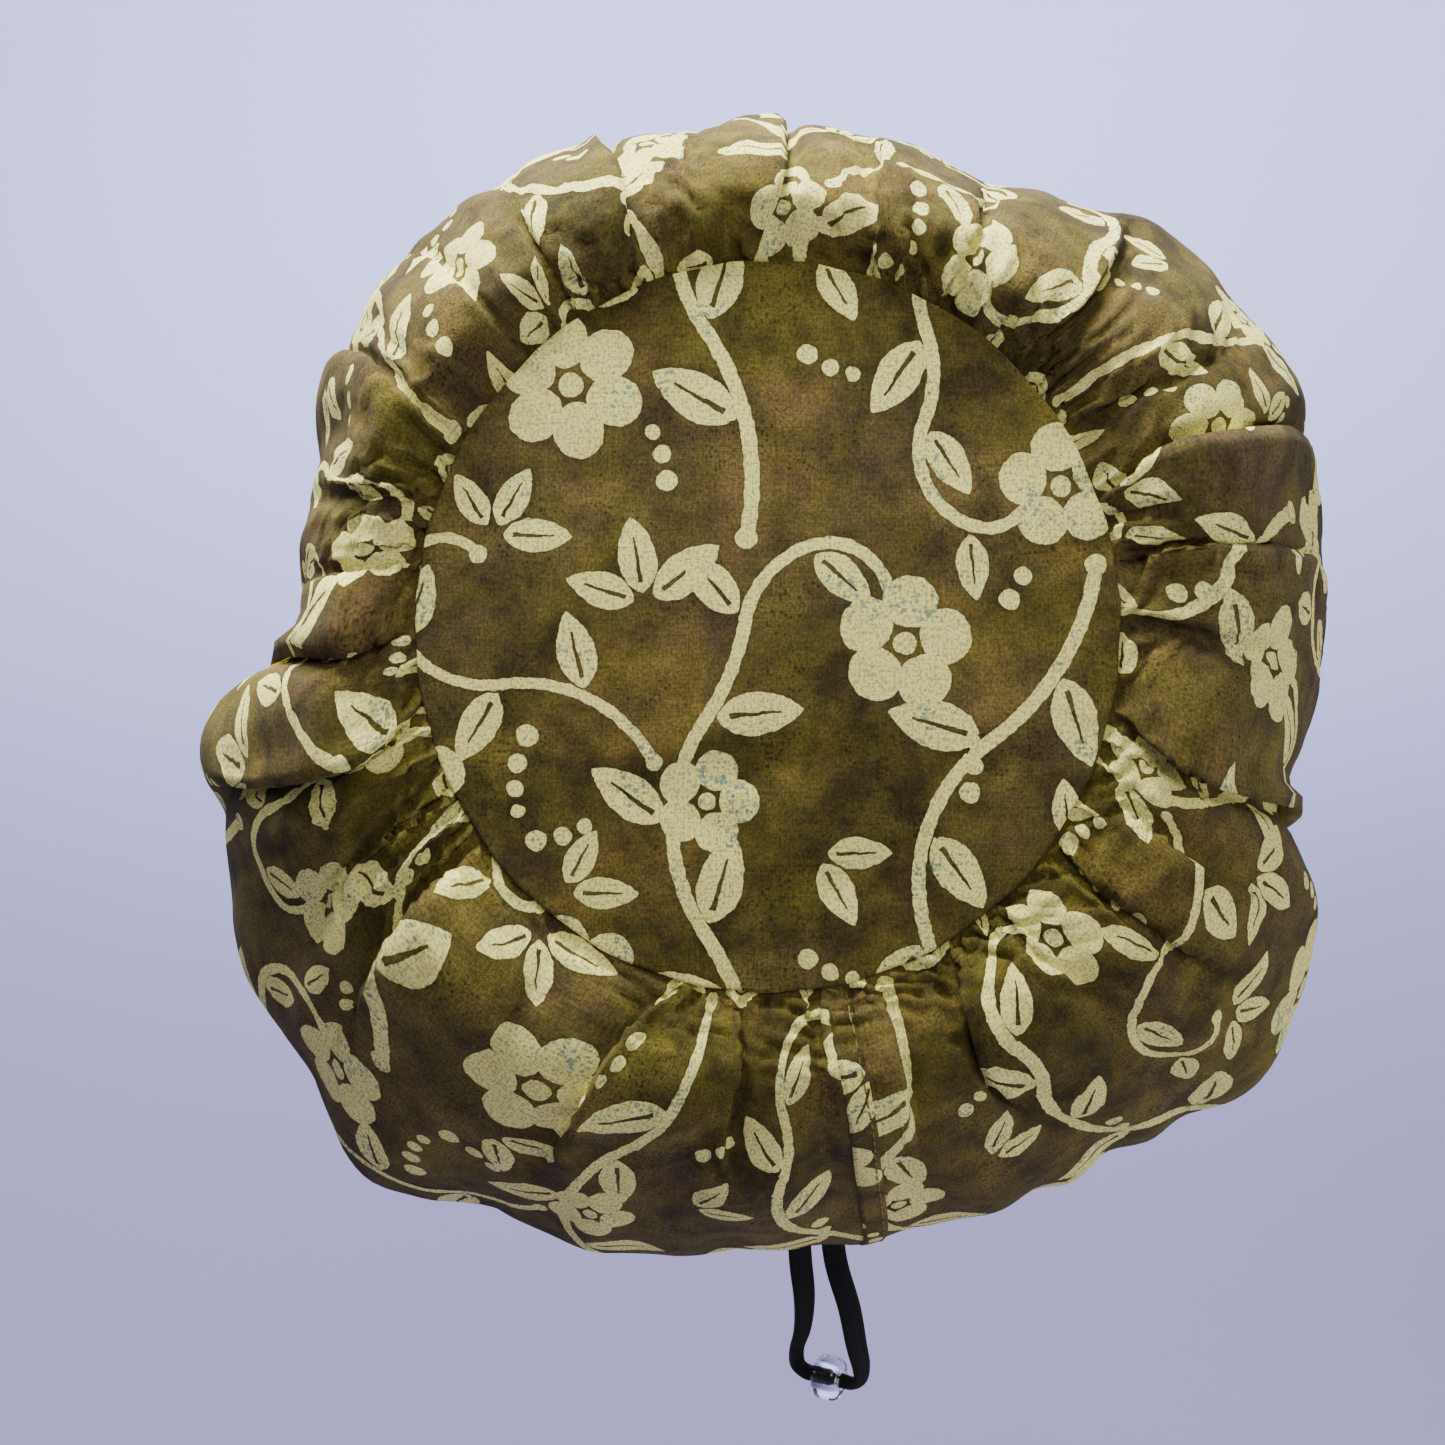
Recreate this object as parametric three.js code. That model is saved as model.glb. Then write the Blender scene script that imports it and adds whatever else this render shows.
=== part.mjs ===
// A bouffant scrub cap as it sits on a head: a gathered side panel round a flat back disc,
// a hem casing round the head, and a loop of flat elastic with a bead at the nape.
// Millimetres. +X is the wearer's right, +Y forward, +Z up. The origin is the centre of the head opening.
import * as THREE from 'three';

const radians = THREE.MathUtils.degToRad;

// Cloth and fits
const CLOTH_WALL = 1.2;
const FIT_GAP = 0.3;

// Back disc: an ellipse that faces backwards, leaning up by DISC_LEAN
const DISC_LEAN = 15;
const DISC_WIDTH = 160;
const DISC_HEIGHT = 166;
const DISC_RISE = 50;
const DISC_BACK = 150;
const DISC_DOME = 4;
const DISC_SIDES = 52;
const DISC_RINGS = 4;

// Side panel
const PUFF_RADIUS = 145;
const PUFF_WIDEST = 88;
const SEAM_TUCK = 4;
const SEAM_CLEAR = 1.2;
const CREST_RISE = 5;
const CREST_REACH = 0.34;
const UNDER_BULGE = 30;
const HEM_TURN = 7;
const HEM_SPREAD = 1.5;
const CREASE_DEPTH = 9;
const CREASE_START = 0.03;
const CREASE_FULL = 0.14;
const FADE_START = 0.4;

// Head opening and its casing
const OPENING_WIDTH = 156;
const OPENING_LENGTH = 196;
const OPENING_TILT = 36;
const CASING_HEIGHT = 11;
const CASING_THICKNESS = 3;
const CASING_CORNER = 1;
const CASING_SIDES = 64;

// Elastic and bead
const ELASTIC_WIDTH = 6.4;
const ELASTIC_THICKNESS = 1.6;
const ELASTIC_STEP = 2.5;
const BEAD_DIAMETER = 12;
const BEAD_LENGTH = 8;
const BEAD_BORE = 5;
const BEAD_ROUNDING = 2.4;
const BEAD_TURN = -25;
const BEAD_SIDES = 16;
const ROUNDING_STEPS = 3;
const PLUG_SIDES = 8;
const BEAD_CENTRE = new THREE.Vector3(19.4, -82, -138.6);

// Outline of the panel at its widest, seen from behind, anticlockwise from the right:
// angle in degrees, reach as a share of PUFF_RADIUS
const OUTLINE = [
  { angle: 0, reach: 1.01 },
  { angle: 12, reach: 1.026 },
  { angle: 24, reach: 1.06 },
  { angle: 36, reach: 1.05 },
  { angle: 48, reach: 1.012 },
  { angle: 58, reach: 0.955 },
  { angle: 66, reach: 0.912 },
  { angle: 78, reach: 0.93 },
  { angle: 90, reach: 0.936 },
  { angle: 99, reach: 0.92 },
  { angle: 114, reach: 0.943 },
  { angle: 132, reach: 0.948 },
  { angle: 146, reach: 0.926 },
  { angle: 158, reach: 0.875 },
  { angle: 170, reach: 0.852 },
  { angle: 180, reach: 0.848 },
  { angle: 187, reach: 0.97 },
  { angle: 196, reach: 1.035 },
  { angle: 208, reach: 1.062 },
  { angle: 220, reach: 1.11 },
  { angle: 229, reach: 1.155 },
  { angle: 235, reach: 1.195 },
  { angle: 242, reach: 1.16 },
  { angle: 256, reach: 1.13 },
  { angle: 272, reach: 1.1 },
  { angle: 286, reach: 1.096 },
  { angle: 298, reach: 1.11 },
  { angle: 310, reach: 1.137 },
  { angle: 318, reach: 1.2 },
  { angle: 326, reach: 1.16 },
  { angle: 334, reach: 1.095 },
  { angle: 343, reach: 0.985 },
  { angle: 349, reach: 0.98 },
  { angle: 354, reach: 1.0 },
];

// Creases of the panel, anticlockwise: angle at the disc seam, drift of that angle by the widest line,
// depth as a share of CREASE_DEPTH, reach as a share of the way from the seam to the casing
const CREASES = [
  { angle: 2, drift: -7, depth: 0.5, reach: 0.4 },
  { angle: 12, drift: -7, depth: 0.8, reach: 0.7 },
  { angle: 22.5, drift: -3, depth: 0.9, reach: 0.65 },
  { angle: 33, drift: 1, depth: 0.6, reach: 0.4 },
  { angle: 44, drift: 8, depth: 0.9, reach: 0.6 },
  { angle: 60, drift: 4, depth: 0.9, reach: 0.42 },
  { angle: 73.5, drift: 3, depth: 0.7, reach: 0.42 },
  { angle: 90, drift: -2, depth: 0.7, reach: 0.5 },
  { angle: 101, drift: 0, depth: 0.45, reach: 0.38 },
  { angle: 112, drift: -2, depth: 0.8, reach: 0.6 },
  { angle: 122, drift: 1, depth: 0.5, reach: 0.36 },
  { angle: 133, drift: 0, depth: 0.7, reach: 0.42 },
  { angle: 151, drift: -4, depth: 0.9, reach: 0.7 },
  { angle: 161, drift: 2, depth: 0.6, reach: 0.42 },
  { angle: 171, drift: 5, depth: 0.6, reach: 0.45 },
  { angle: 181, drift: 1, depth: 1, reach: 0.9 },
  { angle: 194, drift: 1, depth: 1, reach: 0.6 },
  { angle: 206, drift: 5, depth: 0.6, reach: 0.42 },
  { angle: 216, drift: 10, depth: 0.9, reach: 0.6 },
  { angle: 235, drift: 0, depth: 0.6, reach: 0.42 },
  { angle: 254.5, drift: -5, depth: 1, reach: 0.65 },
  { angle: 267, drift: 0.5, depth: 0.5, reach: 0.42 },
  { angle: 277.5, drift: -1, depth: 0.4, reach: 0.55 },
  { angle: 288.5, drift: -3, depth: 0.6, reach: 0.5 },
  { angle: 301, drift: -9, depth: 1, reach: 0.7 },
  { angle: 311, drift: -2, depth: 0.5, reach: 0.4 },
  { angle: 324, drift: -3, depth: 0.7, reach: 0.5 },
  { angle: 334, drift: -4, depth: 0.7, reach: 0.45 },
  { angle: 346, drift: -4, depth: 1, reach: 0.85 },
];

// Places across one lobe, from one crease to the next, as shares of its width
const LOBE_PLACES = [0, 0.2, 0.5, 0.8];
const CREASE_SPREAD = 0.2;

// Rows of the panel after its tucked edge, as shares of the way from the seam to the casing
const PANEL_SHARES = [0, 0.03, 0.07, 0.12, 0.18, 0.25, 0.33, 0.41, 0.49, 0.58, 0.68, 0.79, 0.9, 0.96, 1];

// Routes of the two strands of the elastic, from the casing to the bead
const LEFT_ROUTE = [
  new THREE.Vector3(9.5, -78.7, -58.4),
  new THREE.Vector3(9.6, -79.2, -63),
  new THREE.Vector3(10, -81.8, -76),
  new THREE.Vector3(10.9, -83.2, -100),
  new THREE.Vector3(12.2, -83.2, -113.5),
  new THREE.Vector3(11.8, -82.6, -123),
  new THREE.Vector3(10.3, -80.6, -131),
  new THREE.Vector3(10.9, -79, -136.4),
  new THREE.Vector3(13.2, -79.1, -138.5),
  new THREE.Vector3(15.48, -80.17, -138.6),
];
const RIGHT_ROUTE = [
  new THREE.Vector3(18.5, -77.1, -57.6),
  new THREE.Vector3(18.6, -77.6, -62),
  new THREE.Vector3(18.8, -81.2, -76),
  new THREE.Vector3(20.4, -83.8, -100),
  new THREE.Vector3(24.6, -85, -115.5),
  new THREE.Vector3(26.6, -86.2, -126),
  new THREE.Vector3(28, -86.9, -132.5),
  new THREE.Vector3(27.8, -86.2, -136.6),
  new THREE.Vector3(25.6, -84.93, -138.5),
  new THREE.Vector3(23.32, -83.83, -138.6),
];

const clothOlive = new THREE.MeshStandardMaterial({ color: 0x6b5f28, roughness: 0.9, metalness: 0 });
const clothBrown = new THREE.MeshStandardMaterial({ color: 0x5c4a24, roughness: 0.9, metalness: 0 });
const elasticBlack = new THREE.MeshStandardMaterial({ color: 0x0c0c0e, roughness: 0.75, metalness: 0 });
const beadClear = new THREE.MeshStandardMaterial({
  color: 0xe9e6ea, roughness: 0.08, metalness: 0, transparent: true, opacity: 0.4,
});

// A point given across (x), up the disc (rise) and back out through the disc (back)
function capPoint(x, rise, back) {
  const lean = radians(DISC_LEAN);
  return new THREE.Vector3(
    x,
    -back * Math.cos(lean) + rise * Math.sin(lean),
    back * Math.sin(lean) + rise * Math.cos(lean),
  );
}

// Smooth closed curve through a table's column, read at any angle
function readAround(table, column, angle) {
  const turn = ((angle % 360) + 360) % 360;
  const count = table.length;
  let row = table.findIndex((entry) => entry.angle > turn);
  if (row < 0) {
    row = count;
  }
  const at = (index) => table[((index % count) + count) % count];
  const start = at(row - 1);
  const end = at(row);
  const span = (((end.angle - start.angle) % 360) + 360) % 360;
  const share = ((((turn - start.angle) % 360) + 360) % 360) / span;
  const before = at(row - 2)[column];
  const after = at(row + 1)[column];
  const leave = (end[column] - before) / 2;
  const arrive = (after - start[column]) / 2;
  const square = share * share;
  const cube = square * share;
  return (2 * cube - 3 * square + 1) * start[column] + (cube - 2 * square + share) * leave
    + (3 * square - 2 * cube) * end[column] + (cube - square) * arrive;
}

// Edge of the head opening at an angle round it, raised along the opening's own axis
function openingPoint(angle, raised, outward) {
  const turn = radians(angle);
  const tilt = radians(OPENING_TILT);
  const across = (OPENING_WIDTH / 2 + outward) * Math.cos(turn);
  const along = (OPENING_LENGTH / 2 + outward) * Math.sin(turn);
  return new THREE.Vector3(
    across,
    along * Math.cos(tilt) - raised * Math.sin(tilt),
    along * Math.sin(tilt) + raised * Math.cos(tilt),
  );
}

// One line of the panel: its edge tucked under the disc, then a curve over the crest and the widest line
// to the casing
function panelLine(angle, drift) {
  const atSeam = radians(angle);
  const atWidest = radians(angle + drift);
  const discAcross = DISC_WIDTH / 2;
  const discUp = DISC_HEIGHT / 2;
  const ringPoint = (across, up, direction, back) => capPoint(
    across * Math.cos(direction), DISC_RISE + up * Math.sin(direction), back);
  const seamPoint = (extra) => ringPoint(
    discAcross + extra, discUp + extra, atSeam, DISC_BACK - CLOTH_WALL - FIT_GAP);
  const reach = PUFF_RADIUS * readAround(OUTLINE, 'reach', angle + drift);
  const crest = ringPoint(
    THREE.MathUtils.lerp(discAcross, reach, CREST_REACH), THREE.MathUtils.lerp(discUp, reach, CREST_REACH),
    (atSeam + atWidest) / 2, DISC_BACK + CREST_RISE);
  const widest = ringPoint(reach, reach, atWidest, PUFF_WIDEST);
  const hemOutward = CLOTH_WALL / 2;
  const hemTurn = openingPoint(angle + drift, CASING_HEIGHT + HEM_TURN, hemOutward + HEM_SPREAD);
  const hem = openingPoint(angle + drift, CASING_HEIGHT + FIT_GAP, hemOutward);
  const way = hem.clone().sub(widest);
  const outward = widest.clone().sub(capPoint(0, DISC_RISE, PUFF_WIDEST)).normalize();
  const square = outward.addScaledVector(way, -outward.dot(way) / way.lengthSq()).normalize();
  const bulge = UNDER_BULGE * way.length() / PUFF_RADIUS;
  const under = widest.clone().addScaledVector(way, 0.5).addScaledVector(square, bulge);
  const curve = new THREE.CatmullRomCurve3([
    seamPoint(SEAM_CLEAR), crest, widest, under, hemTurn, hem], false, 'centripetal');
  const points = [seamPoint(-SEAM_TUCK)];
  for (const share of PANEL_SHARES) {
    points.push(curve.getPointAt(share));
  }
  return points;
}

// Every line of the panel: creases and the places between them, each with the creases on its two sides
function panelColumns() {
  const columns = [];
  CREASES.forEach((crease, index) => {
    const next = CREASES[(index + 1) % CREASES.length];
    const span = (((next.angle - crease.angle) % 360) + 360) % 360;
    for (const place of LOBE_PLACES) {
      columns.push({
        angle: crease.angle + span * place,
        drift: THREE.MathUtils.lerp(crease.drift, next.drift, place),
        sides: [{ crease, away: place }, { crease: next, away: 1 - place }],
      });
    }
  });
  return columns;
}

// How far the cloth sinks at a place on a line
function creaseDepth(sides, share) {
  let depth = 0;
  for (const { crease, away } of sides) {
    const started = THREE.MathUtils.smoothstep(share, CREASE_START, CREASE_FULL);
    const fading = 1 - THREE.MathUtils.smoothstep(share, crease.reach * FADE_START, crease.reach);
    depth += crease.depth * started * fading * Math.exp(-((away / CREASE_SPREAD) ** 2));
  }
  return CREASE_DEPTH * depth;
}

// Normals of a closed-round grid of points, pointing out
function gridNormals(grid) {
  const columns = grid.length;
  const rows = grid[0].length;
  return grid.map((line, column) => line.map((point, row) => {
    const right = grid[(column + 1) % columns][row];
    const left = grid[(column + columns - 1) % columns][row];
    const down = line[Math.min(row + 1, rows - 1)];
    const up = line[Math.max(row - 1, 0)];
    const around = right.clone().sub(left);
    const along = down.clone().sub(up);
    return along.cross(around).normalize();
  }));
}

function meshGeometry(positions, indices) {
  const geometry = new THREE.BufferGeometry();
  geometry.setAttribute('position', new THREE.Float32BufferAttribute(positions, 3));
  geometry.setIndex(indices);
  geometry.computeVertexNormals();
  return geometry;
}

// Closed body between an outer and an inner grid that both run round, joined at their two rims
function shellGeometry(outer, inner) {
  const columns = outer.length;
  const rows = outer[0].length;
  const positions = [];
  const indices = [];
  for (const grid of [outer, inner]) {
    for (const line of grid) {
      for (const point of line) {
        positions.push(point.x, point.y, point.z);
      }
    }
  }
  const outerIndex = (column, row) => (column % columns) * rows + row;
  const innerIndex = (column, row) => columns * rows + outerIndex(column, row);
  const addQuad = (a, b, c, d) => {
    indices.push(a, b, c, a, c, d);
  };
  for (let column = 0; column < columns; column += 1) {
    for (let row = 0; row < rows - 1; row += 1) {
      addQuad(outerIndex(column, row), outerIndex(column, row + 1),
        outerIndex(column + 1, row + 1), outerIndex(column + 1, row));
      addQuad(innerIndex(column, row), innerIndex(column + 1, row),
        innerIndex(column + 1, row + 1), innerIndex(column, row + 1));
    }
    addQuad(outerIndex(column, 0), outerIndex(column + 1, 0),
      innerIndex(column + 1, 0), innerIndex(column, 0));
    addQuad(outerIndex(column, rows - 1), innerIndex(column, rows - 1),
      innerIndex(column + 1, rows - 1), outerIndex(column + 1, rows - 1));
  }
  return meshGeometry(positions, indices);
}

function sidePuffGeometry() {
  const columns = panelColumns();
  const lines = columns.map(({ angle, drift }) => panelLine(angle, drift));
  const normals = gridNormals(lines);
  const outer = lines.map((line, column) => line.map((point, row) => {
    const depth = row > 0 ? creaseDepth(columns[column].sides, PANEL_SHARES[row - 1]) : 0;
    return point.clone().addScaledVector(normals[column][row], -depth);
  }));
  const outerNormals = gridNormals(outer);
  const inner = outer.map((line, column) => line.map((point, row) => (
    point.clone().addScaledVector(outerNormals[column][row], -CLOTH_WALL))));
  return shellGeometry(outer, inner);
}

// The disc is a low dome, made of an outer and an inner face of the same rings
function crownDiscGeometry() {
  const positions = [];
  const indices = [];
  const addFace = (sunk) => {
    const start = positions.length / 3;
    for (let ring = 1; ring <= DISC_RINGS; ring += 1) {
      const share = ring / DISC_RINGS;
      for (let side = 0; side < DISC_SIDES; side += 1) {
        const turn = side / DISC_SIDES * Math.PI * 2;
        const dome = DISC_DOME * (1 - share * share) - sunk;
        const point = capPoint(DISC_WIDTH / 2 * share * Math.cos(turn),
          DISC_RISE + DISC_HEIGHT / 2 * share * Math.sin(turn), DISC_BACK + dome);
        positions.push(point.x, point.y, point.z);
      }
    }
    const middle = capPoint(0, DISC_RISE, DISC_BACK + DISC_DOME - sunk);
    positions.push(middle.x, middle.y, middle.z);
    return start;
  };
  const outer = addFace(0);
  const inner = addFace(CLOTH_WALL);
  const place = (start, ring, side) => start + (ring - 1) * DISC_SIDES + side % DISC_SIDES;
  const middleOf = (start) => start + DISC_RINGS * DISC_SIDES;
  for (let side = 0; side < DISC_SIDES; side += 1) {
    indices.push(middleOf(outer), place(outer, 1, side), place(outer, 1, side + 1));
    indices.push(middleOf(inner), place(inner, 1, side + 1), place(inner, 1, side));
    for (let ring = 1; ring < DISC_RINGS; ring += 1) {
      indices.push(place(outer, ring, side), place(outer, ring + 1, side), place(outer, ring + 1, side + 1));
      indices.push(place(outer, ring, side), place(outer, ring + 1, side + 1), place(outer, ring, side + 1));
      indices.push(place(inner, ring, side), place(inner, ring + 1, side + 1), place(inner, ring + 1, side));
      indices.push(place(inner, ring, side), place(inner, ring, side + 1), place(inner, ring + 1, side + 1));
    }
    const rim = DISC_RINGS;
    indices.push(place(outer, rim, side), place(inner, rim, side), place(inner, rim, side + 1));
    indices.push(place(outer, rim, side), place(inner, rim, side + 1), place(outer, rim, side + 1));
  }
  return meshGeometry(positions, indices);
}

// The casing is a chamfered strip swept round the head opening
function rimBandGeometry() {
  const half = CASING_THICKNESS / 2;
  const corner = CASING_CORNER;
  const section = [
    { outward: half, raised: corner },
    { outward: half, raised: CASING_HEIGHT - corner },
    { outward: half - corner, raised: CASING_HEIGHT },
    { outward: -half + corner, raised: CASING_HEIGHT },
    { outward: -half, raised: CASING_HEIGHT - corner },
    { outward: -half, raised: corner },
    { outward: -half + corner, raised: 0 },
    { outward: half - corner, raised: 0 },
  ];
  const positions = [];
  const indices = [];
  const count = section.length;
  for (let side = 0; side < CASING_SIDES; side += 1) {
    for (const { outward, raised } of section) {
      const point = openingPoint(side / CASING_SIDES * 360, raised, outward);
      positions.push(point.x, point.y, point.z);
    }
  }
  for (let side = 0; side < CASING_SIDES; side += 1) {
    const next = (side + 1) % CASING_SIDES;
    for (let place = 0; place < count; place += 1) {
      const after = (place + 1) % count;
      const a = side * count + place;
      const b = next * count + place;
      const c = next * count + after;
      const d = side * count + after;
      indices.push(a, b, c, a, c, d);
    }
  }
  return meshGeometry(positions, indices);
}

// Eight-sided flat section of the elastic
function elasticSection() {
  const half = ELASTIC_WIDTH / 2;
  const thick = ELASTIC_THICKNESS / 2;
  const shape = new THREE.Shape();
  shape.moveTo(-half + thick, -thick);
  shape.lineTo(half - thick, -thick);
  shape.lineTo(half, -thick / 2);
  shape.lineTo(half, thick / 2);
  shape.lineTo(half - thick, thick);
  shape.lineTo(-half + thick, thick);
  shape.lineTo(-half, thick / 2);
  shape.lineTo(-half, -thick / 2);
  shape.closePath();
  return shape;
}

function strandGeometry(route) {
  const path = new THREE.CatmullRomCurve3(route, false, 'centripetal');
  const steps = Math.round(path.getLength() / ELASTIC_STEP);
  return new THREE.ExtrudeGeometry(elasticSection(), { steps, extrudePath: path });
}

// Rounded ring turned about its bore, the bore along local Y
function beadGeometry() {
  const outer = BEAD_DIAMETER / 2;
  const bore = BEAD_BORE / 2;
  const half = BEAD_LENGTH / 2;
  const round = BEAD_ROUNDING;
  const profile = [new THREE.Vector2(bore, -half)];
  for (let step = 0; step <= ROUNDING_STEPS; step += 1) {
    const turn = step / ROUNDING_STEPS * Math.PI / 2;
    profile.push(new THREE.Vector2(
      outer - round + round * Math.sin(turn), -half + round - round * Math.cos(turn)));
  }
  for (let step = 0; step <= ROUNDING_STEPS; step += 1) {
    const turn = step / ROUNDING_STEPS * Math.PI / 2;
    profile.push(new THREE.Vector2(
      outer - round + round * Math.cos(turn), half - round + round * Math.sin(turn)));
  }
  profile.push(new THREE.Vector2(bore, half));
  profile.push(new THREE.Vector2(bore, -half));
  return new THREE.LatheGeometry(profile, BEAD_SIDES);
}

// The elastic folded into the bore, its two ends level with the bead's faces
function boreFillGeometry() {
  const radius = BEAD_BORE / 2 - FIT_GAP;
  return new THREE.CylinderGeometry(radius, radius, BEAD_LENGTH, PLUG_SIDES);
}

function namedMesh(name, geometry, material) {
  const mesh = new THREE.Mesh(geometry, material);
  mesh.name = name;
  return mesh;
}

function beadGroup() {
  const group = new THREE.Group();
  group.add(namedMesh('bead', beadGeometry(), beadClear));
  group.add(namedMesh('elastic_in_bead', boreFillGeometry(), elasticBlack));
  group.position.copy(BEAD_CENTRE);
  group.rotation.set(0, 0, radians(BEAD_TURN) - Math.PI / 2);
  return group;
}

const group = new THREE.Group();
group.add(namedMesh('crown_disc', crownDiscGeometry(), clothOlive));
group.add(namedMesh('side_puff', sidePuffGeometry(), clothBrown));
group.add(namedMesh('rim_band', rimBandGeometry(), clothOlive));
group.add(namedMesh('elastic_left', strandGeometry(LEFT_ROUTE), elasticBlack));
group.add(namedMesh('elastic_right', strandGeometry(RIGHT_ROUTE), elasticBlack));
group.add(beadGroup());

export default group;
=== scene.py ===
# %% [markdown]
# A bouffant scrub cap, in the shape it takes when worn, seen from behind. It is sewn from printed
# cotton: a round back disc, and a wide side panel that is gathered into it and turned over elastic at
# the hem. A loop of flat elastic with a clear bead hangs from the hem. The frame gives every size and
# place, so the first cell loads it and keeps its parts.
# %% Load the frame
import math

import bpy
import numpy as np
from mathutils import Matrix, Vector


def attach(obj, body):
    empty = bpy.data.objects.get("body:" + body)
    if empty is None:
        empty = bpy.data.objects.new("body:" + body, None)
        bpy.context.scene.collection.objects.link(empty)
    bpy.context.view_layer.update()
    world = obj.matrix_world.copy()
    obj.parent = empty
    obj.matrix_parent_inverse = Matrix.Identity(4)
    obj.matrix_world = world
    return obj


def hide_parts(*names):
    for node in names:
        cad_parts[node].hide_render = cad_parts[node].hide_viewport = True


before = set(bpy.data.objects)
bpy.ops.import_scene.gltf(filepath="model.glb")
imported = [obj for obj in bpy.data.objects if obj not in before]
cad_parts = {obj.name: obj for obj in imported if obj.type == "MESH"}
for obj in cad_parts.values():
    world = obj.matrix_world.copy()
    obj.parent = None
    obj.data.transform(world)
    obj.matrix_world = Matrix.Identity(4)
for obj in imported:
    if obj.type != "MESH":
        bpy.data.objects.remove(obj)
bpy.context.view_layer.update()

BODY = "root"
MM = 0.001

# %% [markdown]
# The camera stands behind the cap, fifteen degrees above the level, square to the back disc. Distances
# along that line are called back, and distances up the disc are called rise.
# %% The cap's own directions and the camera
LEAN = math.radians(15)
CAMERA_BACK = 0.630
CAMERA_RISE = 0.028
CAMERA_ACROSS = -0.0104
CAMERA_VIEW = math.radians(38)
CAMERA_FAR = 20


def cap_point(across, rise, back):
    """Points given across, up the disc and out through it, as an array of x, y, z."""
    across, rise, back = np.broadcast_arrays(across, rise, back)
    return np.stack([
        across,
        -back * math.cos(LEAN) + rise * math.sin(LEAN),
        back * math.sin(LEAN) + rise * math.cos(LEAN),
    ], axis=-1)


def add_camera():
    data = bpy.data.cameras.new("camera")
    data.sensor_width = 36
    data.angle = CAMERA_VIEW
    data.clip_end = CAMERA_FAR
    camera = bpy.data.objects.new("camera", data)
    camera.location = cap_point(CAMERA_ACROSS, CAMERA_RISE, CAMERA_BACK)
    camera.rotation_euler = (math.pi / 2 - LEAN, 0, 0)
    bpy.context.collection.objects.link(camera)
    bpy.context.scene.camera = camera
    return camera


camera = add_camera()
print("camera at", [round(v, 3) for v in camera.location])

# %% [markdown]
# Every piece here is a grid of points worked out by a formula: columns run round it, rows run along it.
# One helper turns a grid into a mesh with a UV map that holds the flat material's own measure, so weave
# and print follow the folds as they do on real cotton.
# %% Grid helpers
def new_object(name, mesh):
    piece = bpy.data.objects.new(name, mesh)
    bpy.context.collection.objects.link(piece)
    return piece


def mesh_from(name, points, faces):
    mesh = bpy.data.meshes.new(name)
    mesh.from_pydata(np.asarray(points).tolist(), [], faces)
    mesh.polygons.foreach_set("use_smooth", [True] * len(mesh.polygons))
    mesh.update()
    return mesh


def whole_numbers(items, name):
    numbers = np.empty(len(items), dtype=np.int32)
    items.foreach_get(name, numbers)
    return numbers


def write_uv(mesh, uv, closes=False):
    """Each point's flat place. Faces that close the round get their far corners one round further on."""
    corner_uv = uv[whole_numbers(mesh.loops, "vertex_index")]
    if closes:
        starts = whole_numbers(mesh.polygons, "loop_start")
        sides = whole_numbers(mesh.polygons, "loop_total")
        quads = starts[sides == 4][:, None] + np.arange(4)
        across = corner_uv[quads, 0]
        width = np.ptp(uv[:, 0])
        pitch = width / max(len(np.unique(np.round(uv[:, 0], 7))) - 1, 1)
        closing = np.ptp(across, axis=1) > width / 2
        far = (across < across.max(axis=1, keepdims=True) - width / 2) & closing[:, None]
        corner_uv[quads, 0] = np.where(far, across + width + pitch, across)
    mesh.uv_layers.new(name="cloth").data.foreach_set("uv", corner_uv.astype(np.float32).ravel())


def ring_faces(columns, rows, offset=0):
    """Faces of a closed round of columns, facing out where rows run up and columns run anticlockwise."""
    place = np.arange(columns * rows).reshape(columns, rows) + offset
    right = np.roll(place, -1, axis=0)
    return np.stack([place[:, :-1], place[:, 1:], right[:, 1:], right[:, :-1]], axis=-1).reshape(-1, 4)


def end_faces(columns, rows):
    """The two faces that close the ends of such a round."""
    first = [column * rows for column in range(columns)]
    return [first, [point + rows - 1 for point in first[::-1]]]


def round_turns(count):
    return np.arange(count) / count * 2 * math.pi


def unit(vectors):
    return vectors / np.maximum(np.linalg.norm(vectors, axis=-1, keepdims=True), 1e-12)


def step_lengths(points, axis=0):
    return np.linalg.norm(np.diff(points, axis=axis), axis=-1)


def walked_along(path):
    """How far each point of a path lies from its start, along it."""
    return np.concatenate([[0], np.cumsum(step_lengths(path))])


def grid_around(grid):
    return np.roll(grid, -1, axis=0) - np.roll(grid, 1, axis=0)


def grid_normals(grid):
    """Unit normals of a grid whose columns run round and whose rows run along."""
    return unit(np.cross(np.gradient(grid, axis=1), grid_around(grid)))


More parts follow.
